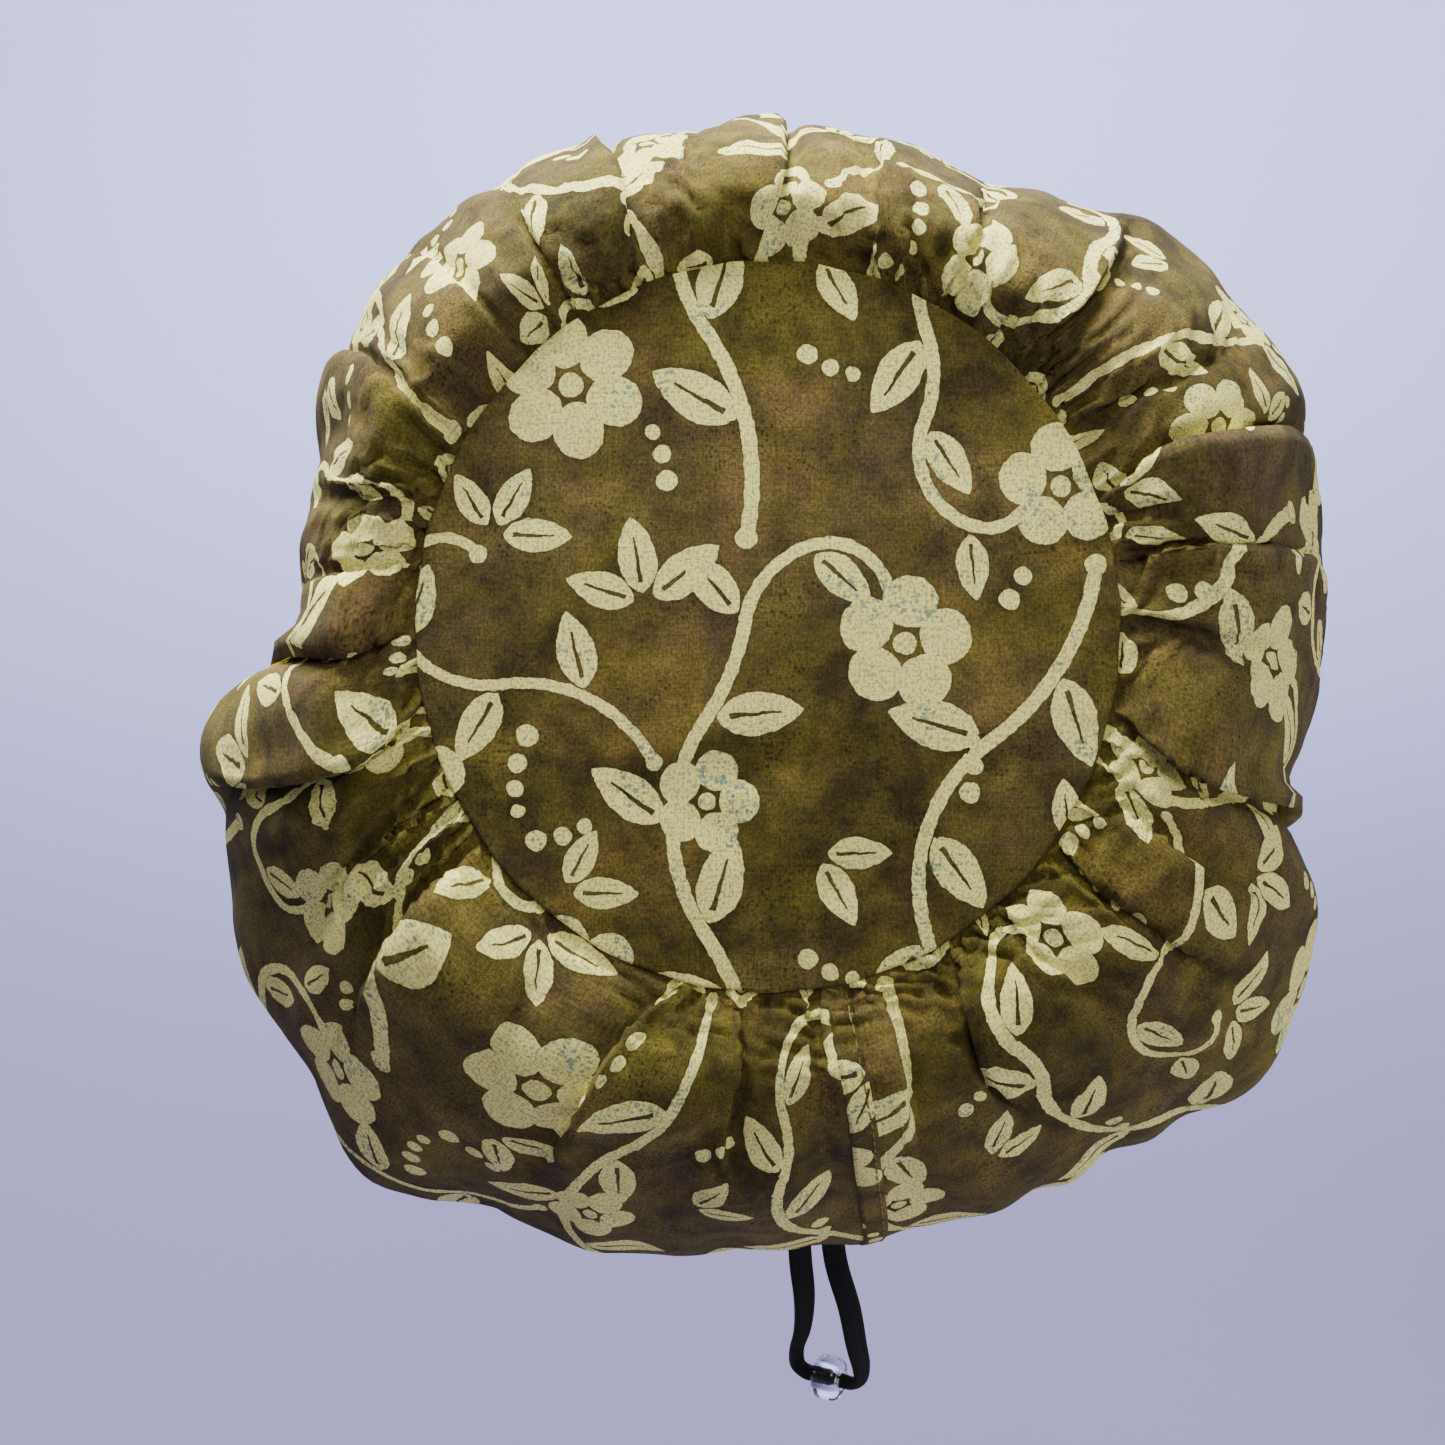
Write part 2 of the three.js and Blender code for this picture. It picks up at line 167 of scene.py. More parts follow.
def smooth_lines(knots, shares, fine=160):
    """Centripetal curves through knots (lines, knots, 3), read at shares of their length."""
    ends = [2 * knots[:, :1] - knots[:, 1:2], knots, 2 * knots[:, -1:] - knots[:, -2:-1]]
    full = np.concatenate(ends, axis=1)
    steps = np.linspace(0, 1, max(fine // (knots.shape[1] - 1), 8), endpoint=False)[None, :, None]
    parts = []
    for index in range(knots.shape[1] - 1):
        p0, p1, p2, p3 = (full[:, index + k] for k in range(4))
        pairs = ((p0, p1), (p1, p2), (p2, p3))
        d0, d1, d2 = (np.sqrt(np.linalg.norm(b - a, axis=1))[:, None] for a, b in pairs)
        leave = ((p1 - p0) / d0 - (p2 - p0) / (d0 + d1) + (p2 - p1) / d1) * d1
        arrive = ((p2 - p1) / d1 - (p3 - p1) / (d1 + d2) + (p3 - p2) / d2) * d1
        p1, p2, leave, arrive = (v[:, None, :] for v in (p1, p2, leave, arrive))
        parts.append(p1 + leave * steps + (3 * (p2 - p1) - 2 * leave - arrive) * steps ** 2
                     + (2 * (p1 - p2) + leave + arrive) * steps ** 3)
    line = np.concatenate(parts + [knots[:, -1:]], axis=1)
    result = np.empty((len(line), len(shares), 3))
    for index, points in enumerate(line):
        walked = walked_along(points)
        for axis in range(3):
            result[index, :, axis] = np.interp(shares * walked[-1], walked, points[:, axis])
    return result


def smoothstep(value, low, high):
    share = np.clip((value - low) / (high - low), 0, 1)
    return share * share * (3 - 2 * share)


def lerp(start, end, share):
    return start + (end - start) * share


# %% [markdown]
# The loop at the back is one length of flat black elastic, 6.4 mm wide. It comes out from under the
# hem, hangs down, goes through the bead and comes back up. Its route repeats the solid's points, and a
# smooth curve is drawn through them.
# %% Elastic route
LEFT_ROUTE = [
    (9.5, -78.7, -58.4), (9.6, -79.2, -63), (10, -81.8, -76), (10.9, -83.2, -100), (12.2, -83.2, -113.5),
    (11.8, -82.6, -123), (10.3, -80.6, -131), (10.9, -79, -136.4), (13.2, -79.1, -138.5),
    (15.48, -80.17, -138.6),
]
RIGHT_ROUTE = [
    (18.5, -77.1, -57.6), (18.6, -77.6, -62), (18.8, -81.2, -76), (20.4, -83.8, -100),
    (24.6, -85, -115.5), (26.6, -86.2, -126), (28, -86.9, -132.5), (27.8, -86.2, -136.6),
    (25.6, -84.93, -138.5), (23.32, -83.83, -138.6),
]
BEAD_CENTRE = np.array([19.4, -82.0, -138.6]) * MM
BEAD_TURN = math.radians(-25)
ELASTIC_WIDTH = 6.4 * MM
ELASTIC_THICKNESS = 1.6 * MM
ELASTIC_RINGS = 240
ELASTIC_SIDES = 40
ELASTIC_RIBS = 6
RIB_DEPTH = 0.10 * MM

elastic_route = np.array(LEFT_ROUTE + [tuple(BEAD_CENTRE / MM)] + RIGHT_ROUTE[::-1]) * MM
elastic_path = smooth_lines(elastic_route[None], np.linspace(0, 1, ELASTIC_RINGS), 900)[0]

# %% [markdown]
# A flat strap is a row of cross-sections along that route, each with the little lengthwise ribs of braided
# elastic. It twists a little on its way and is bunched narrower where it goes into the bead.
# %% Elastic strap
# Distance from the bead's middle in mm, then half width and half thickness in mm and twist in degrees
LEFT_SECTIONS = np.array([
    (0, 2.1, 1.9, 0), (4.5, 2.1, 1.5, 0), (8, 2.1, 1.2, 18), (14, 2.3, 1.1, 42), (24, 2.7, 0.95, 30),
    (40, 3.2, 0.8, 8), (200, 3.2, 0.8, 0),
])
RIGHT_SECTIONS = np.array([
    (0, 2.1, 1.9, 0), (4.5, 1.9, 1.6, 0), (7, 1.8, 1.4, -24), (10, 2.1, 1.2, -40), (15, 2.8, 0.95, -30),
    (24, 3.1, 0.8, -16), (40, 3.2, 0.8, -4), (200, 3.2, 0.8, 4),
])
SECTION_BLUR = 15
# Below one these powers square up the round section, across and through the strap
SQUARE_ACROSS = 0.75
SQUARE_THROUGH = 0.55


def strap_sections(path):
    walked = walked_along(path)
    middle = walked[np.argmin(np.linalg.norm(path - BEAD_CENTRE, axis=1))]
    away = (walked - middle) / MM
    sizes = np.empty((len(path), 3))
    for column in range(3):
        left = np.interp(-away, LEFT_SECTIONS[:, 0], LEFT_SECTIONS[:, column + 1])
        right = np.interp(away, RIGHT_SECTIONS[:, 0], RIGHT_SECTIONS[:, column + 1])
        sizes[:, column] = np.where(away < 0, left, right)
    kernel = np.hanning(SECTION_BLUR) / np.hanning(SECTION_BLUR).sum()
    padded = np.pad(sizes, ((SECTION_BLUR // 2, SECTION_BLUR // 2), (0, 0)), mode="edge")
    return walked, np.stack([np.convolve(padded[:, k], kernel, "valid") for k in range(3)], axis=1)


def strap_mesh(name, path):
    walked, sizes = strap_sections(path)
    along = unit(np.gradient(path, axis=0))
    outward = np.array([0.0, -1.0, 0.0])
    facing = unit(outward - along * (along @ outward)[:, None])
    side = np.cross(along, facing)
    twist = np.radians(sizes[:, 2])[:, None]
    wide = side * np.cos(twist) + facing * np.sin(twist)
    thick = facing * np.cos(twist) - side * np.sin(twist)
    turn = round_turns(ELASTIC_SIDES)
    across = np.sign(np.cos(turn)) * np.abs(np.cos(turn)) ** SQUARE_ACROSS
    up = np.sign(np.sin(turn)) * np.abs(np.sin(turn)) ** SQUARE_THROUGH
    ribs = 1 + RIB_DEPTH / (ELASTIC_THICKNESS / 2) * np.cos(across * ELASTIC_RIBS * math.pi)
    half_width = sizes[:, 0][:, None] * MM
    half_thick = sizes[:, 1][:, None] * MM
    points = (path[:, None] + wide[:, None] * (across[None] * half_width)[..., None]
              + thick[:, None] * (up * ribs * half_thick)[..., None])
    grid = np.swapaxes(points, 0, 1)
    faces = ring_faces(ELASTIC_SIDES, len(path)).tolist() + end_faces(ELASTIC_SIDES, len(path))
    mesh = mesh_from(name, grid.reshape(-1, 3), faces)
    flat_u = np.repeat(turn / (2 * math.pi) * 2 * (ELASTIC_WIDTH + ELASTIC_THICKNESS), len(path))
    write_uv(mesh, np.stack([flat_u, np.tile(walked, ELASTIC_SIDES)], axis=1), True)
    return mesh


elastic = new_object("elastic_loop", strap_mesh("elastic_loop", elastic_path))
print("elastic faces", len(elastic.data.polygons))

# %% [markdown]
# The bead is a moulded barrel of clear acrylic with a wide bore. It is turned on a lathe here: a
# profile goes out along one face, over the rounded shoulders and back through the bore, and is swept
# round the bore's axis, which closes it by itself.
# %% Clear bead
BEAD_DIAMETER = 12 * MM
BEAD_LENGTH = 8 * MM
BEAD_BORE = 5 * MM
BEAD_ROUNDING = 2.4 * MM
BORE_ROUNDING = 0.7 * MM
BEAD_SEGMENTS = 72
CORNER_STEPS = 8


def bead_profile():
    """Distance along the bore and out from it, once round the wall."""
    half, outer, inner = BEAD_LENGTH / 2, BEAD_DIAMETER / 2, BEAD_BORE / 2
    corners = [
        (half - BEAD_ROUNDING, outer - BEAD_ROUNDING, BEAD_ROUNDING, 90),
        (half - BORE_ROUNDING, inner + BORE_ROUNDING, BORE_ROUNDING, 0),
        (-half + BORE_ROUNDING, inner + BORE_ROUNDING, BORE_ROUNDING, -90),
        (-half + BEAD_ROUNDING, outer - BEAD_ROUNDING, BEAD_ROUNDING, 180),
    ]
    profile = []
    for along, out, radius, start in corners:
        for step in range(CORNER_STEPS + 1):
            turn = math.radians(start - step * 90 / CORNER_STEPS)
            profile.append((along + radius * math.cos(turn), out + radius * math.sin(turn)))
    return np.array(profile)


def bead_mesh():
    profile = bead_profile()
    rows = len(profile)
    upward = np.array([0.0, 0.0, 1.0])
    axis = np.array([math.cos(BEAD_TURN), math.sin(BEAD_TURN), 0.0])
    turn = round_turns(BEAD_SEGMENTS)[:, None]
    spoke = np.cross(upward, axis) * np.cos(turn) + upward * np.sin(turn)
    grid = BEAD_CENTRE + axis * profile[None, :, :1] + spoke[:, None] * profile[None, :, 1:]
    place = np.arange(BEAD_SEGMENTS * rows).reshape(BEAD_SEGMENTS, rows)
    right = np.roll(place, -1, axis=0)
    below, below_right = np.roll(place, -1, axis=1), np.roll(right, -1, axis=1)
    faces = np.stack([place, right, below_right, below], axis=-1).reshape(-1, 4)
    return mesh_from("clear_bead", grid.reshape(-1, 3), faces.tolist())


bead = new_object("clear_bead", bead_mesh())
for piece, slot in ((elastic, "black_elastic"), (bead, "clear_bead")):
    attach(piece, BODY)
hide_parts("elastic_left", "elastic_right", "elastic_in_bead")
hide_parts("bead")
print("bead faces", len(bead.data.polygons))

# %% [markdown]
# The side panel follows the same tables as the solid: the outline at its widest line, and the creases
# where the gathers sink in. Angles run anticlockwise from the right as seen from behind.
# %% Sizes and tables of the side panel
CLOTH_THICKNESS = 0.6 * MM
DISC_WIDTH = 160 * MM
DISC_HEIGHT = 166 * MM
DISC_RISE = 50 * MM
DISC_BACK = 150 * MM
CLOTH_WALL = 1.2 * MM
FIT_GAP = 0.3 * MM
PUFF_RADIUS = 145 * MM
PUFF_WIDEST = 88 * MM
SEAM_TUCK = 4 * MM
SEAM_CLEAR = 0.5 * MM
CREST_RISE = 5 * MM
CREST_REACH = 0.34
UNDER_BULGE = 30 * MM
HEM_TURN = 7 * MM
HEM_SPREAD = 1.5 * MM
CREASE_DEPTH = 3.6 * MM
CREASE_FULL = 0.1
FADE_START = 0.4
OPENING_WIDTH = 156 * MM
OPENING_LENGTH = 196 * MM
OPENING_TILT = math.radians(36)
CASING_HEIGHT = 11 * MM
ROUND_LENGTH = 980 * MM
BACK_SEAM_ANGLE = 281.3

OUTLINE = np.array([
    (0, 1.01), (12, 1.026), (24, 1.06), (36, 1.05), (48, 1.0), (58, 0.948), (66, 0.894), (78, 0.925),
    (90, 0.922), (99, 0.908), (114, 0.938), (132, 0.943), (146, 0.916), (158, 0.865), (170, 0.848),
    (180, 0.834), (187, 0.978), (196, 1.032), (208, 1.07), (220, 1.11), (229, 1.155), (235, 1.195),
    (242, 1.16), (256, 1.13), (272, 1.1), (286, 1.096), (298, 1.11), (310, 1.137), (318, 1.2),
    (326, 1.16), (334, 1.095), (343, 0.985), (349, 0.98), (354, 1.0),
])

# Angle at the seam, drift by the widest line, depth, reach towards the casing, and lean: above nought
# the lobe at higher angles laps over the crease, below nought the one at lower angles does
CREASES = np.array([
    (2, -7, 0.5, 0.36, 0.2), (12, -7, 0.8, 0.5, -0.8), (22.5, -5, 1.0, 0.62, -1.0),
    (33, -3, 0.5, 0.32, 0.3), (44, 4, 0.6, 0.34, 0.7), (60, 4, 0.6, 0.32, 0.5),
    (73.5, 5, 0.5, 0.32, -0.4), (90, -2, 0.8, 0.6, 0.6), (101, -1, 0.4, 0.34, -0.3),
    (112, -3, 0.8, 0.6, 0.8), (122, -2, 0.45, 0.32, -0.3), (133, 0, 0.7, 0.38, 0.5),
    (151, -4, 0.9, 0.62, 0.7), (161, 3, 0.5, 0.34, -0.3), (171, 5, 0.6, 0.42, 0.3),
    (181, 1, 1.0, 0.9, -0.9), (194, 2, 1.0, 0.55, -1.0), (206, 6, 0.45, 0.34, 0.4),
    (216, 10, 0.75, 0.42, 1.0), (235, 2, 0.5, 0.34, -0.3), (254.5, -9, 0.65, 0.4, 1.0),
    (267, -2, 0.5, 0.38, -0.4), (277.5, -1, 0.4, 0.5, 0.2), (288.5, -3, 0.5, 0.38, -0.6),
    (301, -5, 0.75, 0.42, 0.9),
    (311, -1, 0.45, 0.34, -0.3), (324, -2, 0.55, 0.38, 0.6), (334, -4, 0.6, 0.36, -0.4),
    (346, -4, 1.0, 0.85, 1.0),
])
print("panel:", len(OUTLINE), "outline rows and", len(CREASES), "creases")

# %% [markdown]
# Two kinds of curve give the smooth panel. One closes round through the table's radii. The other is the
# way of the cloth at one angle: from the tuck at the disc seam over the crest, out to the widest line,
# and back in underneath to the hem.
# %% Curves of the side panel
def read_around(angles, values, at):
    """Smooth closed curve through values at rising angles, read at any angle in degrees."""
    turn = np.mod(at, 360)
    count = len(angles)
    row = np.searchsorted(angles, turn, side="right")
    start, end = (row - 1) % count, row % count
    span = np.mod(angles[end] - angles[start], 360)
    share = np.mod(turn - angles[start], 360) / span
    leave = (values[end] - values[(row - 2) % count]) / 2
    arrive = (values[(row + 1) % count] - values[start]) / 2
    square, cube = share ** 2, share ** 3
    return ((2 * cube - 3 * square + 1) * values[start] + (cube - 2 * square + share) * leave
            + (3 * square - 2 * cube) * values[end] + (cube - square) * arrive)


def opening_point(angle, raised, outward):
    """A point on the hem opening at an angle round it, raised along the opening's own axis."""
    turn = np.radians(angle)
    across = (OPENING_WIDTH / 2 + outward) * np.cos(turn)
    along = (OPENING_LENGTH / 2 + outward) * np.sin(turn)
    return np.stack(np.broadcast_arrays(
        across,
        along * math.cos(OPENING_TILT) - raised * math.sin(OPENING_TILT),
        along * math.sin(OPENING_TILT) + raised * math.cos(OPENING_TILT)), axis=-1)


def disc_ring(half_width, half_height, turn, back):
    return cap_point(half_width * np.cos(turn), DISC_RISE + half_height * np.sin(turn), back)


def panel_base(widest_angle, shares):
    """The smooth panel before it is gathered, and each line's place among the creases."""
    at_widest = CREASES[:, 0] + CREASES[:, 1]
    order = np.mod(at_widest - at_widest[0], 360)
    turn = np.mod(widest_angle - at_widest[0], 360)
    lobe = np.searchsorted(order, turn, side="right") - 1
    after = (lobe + 1) % len(CREASES)
    span = np.mod(order[after] - order[lobe] + 360, 360)
    place = (turn - order[lobe]) / span
    seam_span = np.mod(CREASES[after, 0] - CREASES[lobe, 0], 360)
    at_seam, at_wide = np.radians(CREASES[lobe, 0] + seam_span * place), np.radians(widest_angle)
    reach = PUFF_RADIUS * read_around(OUTLINE[:, 0], OUTLINE[:, 1], widest_angle)
    seam_back = DISC_BACK - CLOTH_WALL - FIT_GAP
    half_width, half_height = DISC_WIDTH / 2, DISC_HEIGHT / 2
    start = disc_ring(half_width + SEAM_CLEAR, half_height + SEAM_CLEAR, at_seam, seam_back)
    tuck = disc_ring(half_width - SEAM_TUCK, half_height - SEAM_TUCK, at_seam, seam_back)
    middle = at_seam + (np.mod(at_wide - at_seam + math.pi, 2 * math.pi) - math.pi) / 2
    crest = disc_ring(lerp(half_width, reach, CREST_REACH), lerp(half_height, reach, CREST_REACH), middle,
                      DISC_BACK + CREST_RISE)
    widest = disc_ring(reach, reach, at_wide, PUFF_WIDEST)
    hem_turn = opening_point(widest_angle, CASING_HEIGHT + HEM_TURN, CLOTH_WALL / 2 + HEM_SPREAD)
    hem = opening_point(widest_angle, CASING_HEIGHT + FIT_GAP, CLOTH_WALL / 2)
    way = hem - widest
    length = np.linalg.norm(way, axis=1, keepdims=True)
    outward = unit(widest - cap_point(0, DISC_RISE, PUFF_WIDEST))
    square = unit(outward - way * (outward * way).sum(axis=1, keepdims=True) / length ** 2)
    under = widest + way * 0.5 + square * UNDER_BULGE * length / PUFF_RADIUS
    knots = np.stack([start, crest, widest, under, hem_turn, hem], axis=1)
    return tuck, smooth_lines(knots, shares), lobe, place


# %% [markdown]
# A gathered panel is wide at its widest line and drawn up at both seams. The excess cloth shows as main
# creases, which come from the table, and as many small gathers of chance width, which die away from the
# seam. Cloth under a stitch line folds round on top and sharp below, so a gather is the absolute value
# of a sine. A lobe that leans is pushed sideways over the crease beside it, which makes a lapped tuck.
# %% Gathers of the side panel
PANEL_COLUMNS = 432
PANEL_ROWS = 100
PANEL_ANGLES = np.mod(BACK_SEAM_ANGLE + np.arange(PANEL_COLUMNS) / PANEL_COLUMNS * 360, 360)
GATHER_COUNT = 100
GATHER_HEIGHT = 1.7 * MM
HEM_GATHERS = 84
HEM_GATHER_HEIGHT = 1.8 * MM
LEAN_PLACE = 0.13
LEAN_WIDTH = 7.5 * MM
RIDGE_HEIGHT = 2.6 * MM
# How far valleys reach beside a crease, as shares of the way to the next: plain, beneath a lap, above it
PLAIN_VALLEY = 0.16
UNDER_VALLEY = 0.26
OVER_VALLEY = 0.05
RIDGE_REACH = 0.5
LOBE_SWELL = 0.4 * MM
SOFT_WAVES = 1.5 * MM
FOLD_SINK = 1.6 * MM
# Cloth is round over a stitch and sharp beside it: a sine's absolute value to a power, less its middle
GATHER_POWER = 0.8
GATHER_MIDDLE = 0.6
# Rows crowd towards the disc seam, where the gathers are small
ROW_CROWDING = 0.45
# How many waves are summed, and the fewest and most of them round the panel
SLOW_WAVES = (14, 3, 19)
FINE_WAVES = (18, 20, 60)
FINE_SHARE = 0.35

chance = np.random.default_rng(7)


def wave_rows(count, columns, rng):
    """Phase of a round of gathers of uneven width, and a chance value that drifts from one to the next."""
    widths = rng.uniform(0.55, 1.45, count)
    edges = np.concatenate([[0], np.cumsum(widths)]) / widths.sum() * columns
    number = np.interp(np.arange(columns), edges, np.arange(count + 1))
    per_gather = rng.uniform(0, 1, count)
    return number * math.pi, np.interp(number, np.arange(count + 1), np.append(per_gather, per_gather[0]))


def gather_shape(phase):
    return np.abs(np.sin(phase)) ** GATHER_POWER - GATHER_MIDDLE


def soft_noise(angle, along, rng, waves, low, high):
    """A sum of slow waves over the panel, for the looseness of the cloth."""
    total = np.zeros(np.broadcast(angle, along).shape)
    for _ in range(waves):
        around = rng.integers(low, high)
        down = rng.uniform(-2.6, 2.6)
        shift = rng.uniform(0, 2 * math.pi)
        total += np.sin(around * angle + down * 2 * math.pi * along + shift) / math.sqrt(waves)
    return total


def lean_bump(away):
    return away / LEAN_PLACE * np.exp(1 - away / LEAN_PLACE)


def crease_moves(lobe, place, share):
    """How far the creases push the cloth out and sideways, for lobes and places between two creases."""
    after = (lobe + 1) % len(CREASES)
    out = np.zeros((len(lobe), share.shape[1]))
    sway = np.zeros_like(out)
    started = smoothstep(share, 0, CREASE_FULL)
    for side, away, sign in ((lobe, place, 1), (after, 1 - place, -1)):
        reach = CREASES[side, 3][:, None]
        depth = CREASES[side, 2][:, None] * started * (1 - smoothstep(share, reach * FADE_START, reach))
        lean = CREASES[side, 4] * sign
        over, under, plain = np.clip(lean, 0, 1), np.clip(-lean, 0, 1), 1 - np.abs(lean)
        valley = plain * np.exp(-away / PLAIN_VALLEY) + under * np.exp(-away / UNDER_VALLEY)
        valley += over * np.exp(-away / OVER_VALLEY)
        ridge = over * np.exp(-away / RIDGE_REACH) * (1 - np.exp(-away / OVER_VALLEY))
        out += depth * (RIDGE_HEIGHT * ridge - CREASE_DEPTH * valley)[:, None]
        sway -= sign * LEAN_WIDTH * depth * (over * lean_bump(away))[:, None]
    return out, sway


def seam_moves(columns, share):
    """The small gathers at the disc seam, each of its own width, height and reach."""
    phase, drift = wave_rows(GATHER_COUNT, columns, chance)
    alive = np.exp(-share / (0.04 + 0.13 * drift[:, None] ** 2)) * smoothstep(share, 0, 0.015)
    height = GATHER_HEIGHT * (0.45 + 0.75 * drift[:, None]) * alive
    return height * gather_shape(phase)[:, None], height * 0.6 * np.sin(2 * phase)[:, None]


def moved(grid, out, sway):
    """The grid pushed out along its normals and sideways along its rows."""
    return grid + grid_normals(grid) * out[..., None] + unit(grid_around(grid)) * sway[..., None]


def gathered_panel(columns, rows):
    """The grid, each point's way along the cloth, the hem's folds, and the moves of creases and gathers."""
    even = np.linspace(0, 1, rows - 1)
    shares = lerp(even, even ** 2, ROW_CROWDING)
    tuck, base, lobe, place = panel_base(PANEL_ANGLES, shares)
    share = shares[None, :]
    crease_out, crease_sway = crease_moves(lobe, place, share)
    seam_out, seam_sway = seam_moves(columns, share)
    again = (crease_out + seam_out, crease_sway + seam_sway)
    swell = np.sin(math.pi * place)[:, None] ** 2
    loose = LOBE_SWELL * swell * smoothstep(share, 0.02, 0.2) * (1 - smoothstep(share, 0.5, 0.9))
    hem_phase, hem_drift = wave_rows(HEM_GATHERS, columns, chance)
    hem_fold = gather_shape(hem_phase)
    hem_alive = np.exp(-(1 - share) / (0.03 + 0.09 * hem_drift[:, None]))
    loose += HEM_GATHER_HEIGHT * (0.5 + hem_drift[:, None]) * hem_alive * hem_fold[:, None]
    around = np.radians(PANEL_ANGLES)[:, None]
    slow = soft_noise(around, share, chance, *SLOW_WAVES)
    slow += FINE_SHARE * soft_noise(around, share, chance, *FINE_WAVES)
    free = smoothstep(share, 0.03, 0.25) * (1 - smoothstep(share, 0.85, 1.0))
    loose += (SOFT_WAVES * slow - FOLD_SINK) * free
    folded = moved(base, again[0] + loose, again[1])
    walked = np.cumsum(step_lengths(base, 1), axis=1)
    walked = np.concatenate([np.full((columns, 1), -SEAM_TUCK), np.zeros((columns, 1)), walked], axis=1)
    return np.concatenate([tuck[:, None], folded], axis=1), walked, hem_fold, again


panel_grid, panel_walked, hem_fold, fold_moves = gathered_panel(PANEL_COLUMNS, PANEL_ROWS)
print("panel grid", panel_grid.shape, "cut", round(float(panel_walked[:, -1].mean()), 3), "m deep")

# %% [markdown]
# Tables place the folds, but only cloth knows how it rounds off between them. So the grid is settled as
# cloth that hardly stretches and bends easily. Its cut shape is a surface of revolution with the grid's
# own lengths round every line, plus a little spare, and that spare settles into small folds. Both edges
# are held fast, and the rest only loosely near the place it was given. Afterwards part of the folds is
# pressed in once more, because settling rounds their edges.
# %% Settling the cloth
HOLD = 0.25
SETTLE_FRAMES = 8
BEND_STIFFNESS = 1.5
SPARE_ROUND = 1.03
LENGTH_BLUR = 4
LEAST_RISE = 0.3
CRISPER = 0.5


def cut_shape(grid):
    """The shape of the cut cloth: a surface of revolution whose lines are as long as the grid's."""
    ring = np.linalg.norm(np.roll(grid, -1, axis=0) - grid, axis=2).sum(axis=0)
    kernel = np.ones(2 * LENGTH_BLUR + 1) / (2 * LENGTH_BLUR + 1)
    ring = np.convolve(np.pad(ring, LENGTH_BLUR, mode="edge"), kernel, "valid") * SPARE_ROUND
    step = step_lengths(grid, 1).mean(axis=0)
    radius = ring / (2 * math.pi)
    rise = np.sqrt(np.maximum(step ** 2 - np.diff(radius) ** 2, (LEAST_RISE * step) ** 2))
    height = np.concatenate([[0], np.cumsum(rise)])
    turn = round_turns(len(grid))[:, None]
    across, up = radius * np.cos(turn), radius * np.sin(turn)
    return np.stack(np.broadcast_arrays(across, up, height[None]), axis=-1)


def settled(grid):
    columns, rows = grid.shape[:2]
    mesh = mesh_from("trial_cloth", grid.reshape(-1, 3), ring_faces(columns, rows).tolist())
    trial = new_object("trial_cloth", mesh)
    trial.shape_key_add(name="worn")
    cut = trial.shape_key_add(name="cut")
    cut.data.foreach_set("co", cut_shape(grid).reshape(-1).astype(np.float32))
    weight = np.full((columns, rows), HOLD)
    weight[:, [0, 1, -1]] = 1
    held = trial.vertex_groups.new(name="held")
    for value in (HOLD, 1.0):
        held.add(np.nonzero(weight.reshape(-1) == value)[0].tolist(), value, "REPLACE")
    cloth = trial.modifiers.new("cloth", "CLOTH")
    for name, value in (("quality", 4), ("mass", 0.05), ("air_damping", 2.0), ("tension_stiffness", 12),
                        ("compression_stiffness", 12), ("shear_stiffness", 3), ("bending_damping", 0.5),
                        ("bending_stiffness", BEND_STIFFNESS), ("vertex_group_mass", "held"),
                        ("pin_stiffness", 1.0), ("rest_shape_key", cut)):
        setattr(cloth.settings, name, value)
    cloth.settings.effector_weights.gravity = 0.0
    cloth.collision_settings.use_collision = False
    cloth.collision_settings.use_self_collision = True
    cloth.collision_settings.self_distance_min = 1 * MM
    cloth.point_cache.frame_end = SETTLE_FRAMES
    for number in range(1, SETTLE_FRAMES + 1):
        bpy.context.scene.frame_set(number)
    result = np.empty(grid.size, dtype=np.float32)
    graph = bpy.context.evaluated_depsgraph_get()
    trial.evaluated_get(graph).data.vertices.foreach_get("co", result)
    bpy.data.objects.remove(trial)
    bpy.context.scene.frame_set(1)
    return result.reshape(grid.shape).astype(float)


given_grid = panel_grid
panel_grid = settled(panel_grid)
settled_by = np.linalg.norm(panel_grid - given_grid, axis=2) / MM
print("settled by", np.percentile(settled_by, [50, 99]).round(1), "mm")
panel_grid[:, 1:] = moved(panel_grid[:, 1:], *(CRISPER * move for move in fold_moves))

# %% [markdown]
# The hem is the panel's own edge, folded over the elastic and stitched down. Drawing up the elastic
# ruffles it, so the fold carries on the gathers of the hem. Its rows are added to the panel's grid and
# the whole gets a second face a cloth's thickness inside, so the edge shows a wall from below.
# %% Hem casing and the finished panel
# Raised along the opening's axis, outward, and share of the ruffle, in mm
CASING_ROWS = [
    (10.0, 1.5, 0.6), (7.5, 2.1, 0.9), (4.5, 2.2, 1.0), (1.8, 1.8, 1.0), (0.2, 0.9, 1.0), (-0.2, -0.2, 0.9),
    (0.6, -1.4, 0.8), (3.0, -2.0, 0.6), (6.5, -2.0, 0.5), (10.0, -1.6, 0.3),
]
RUFFLE = 1.5 * MM


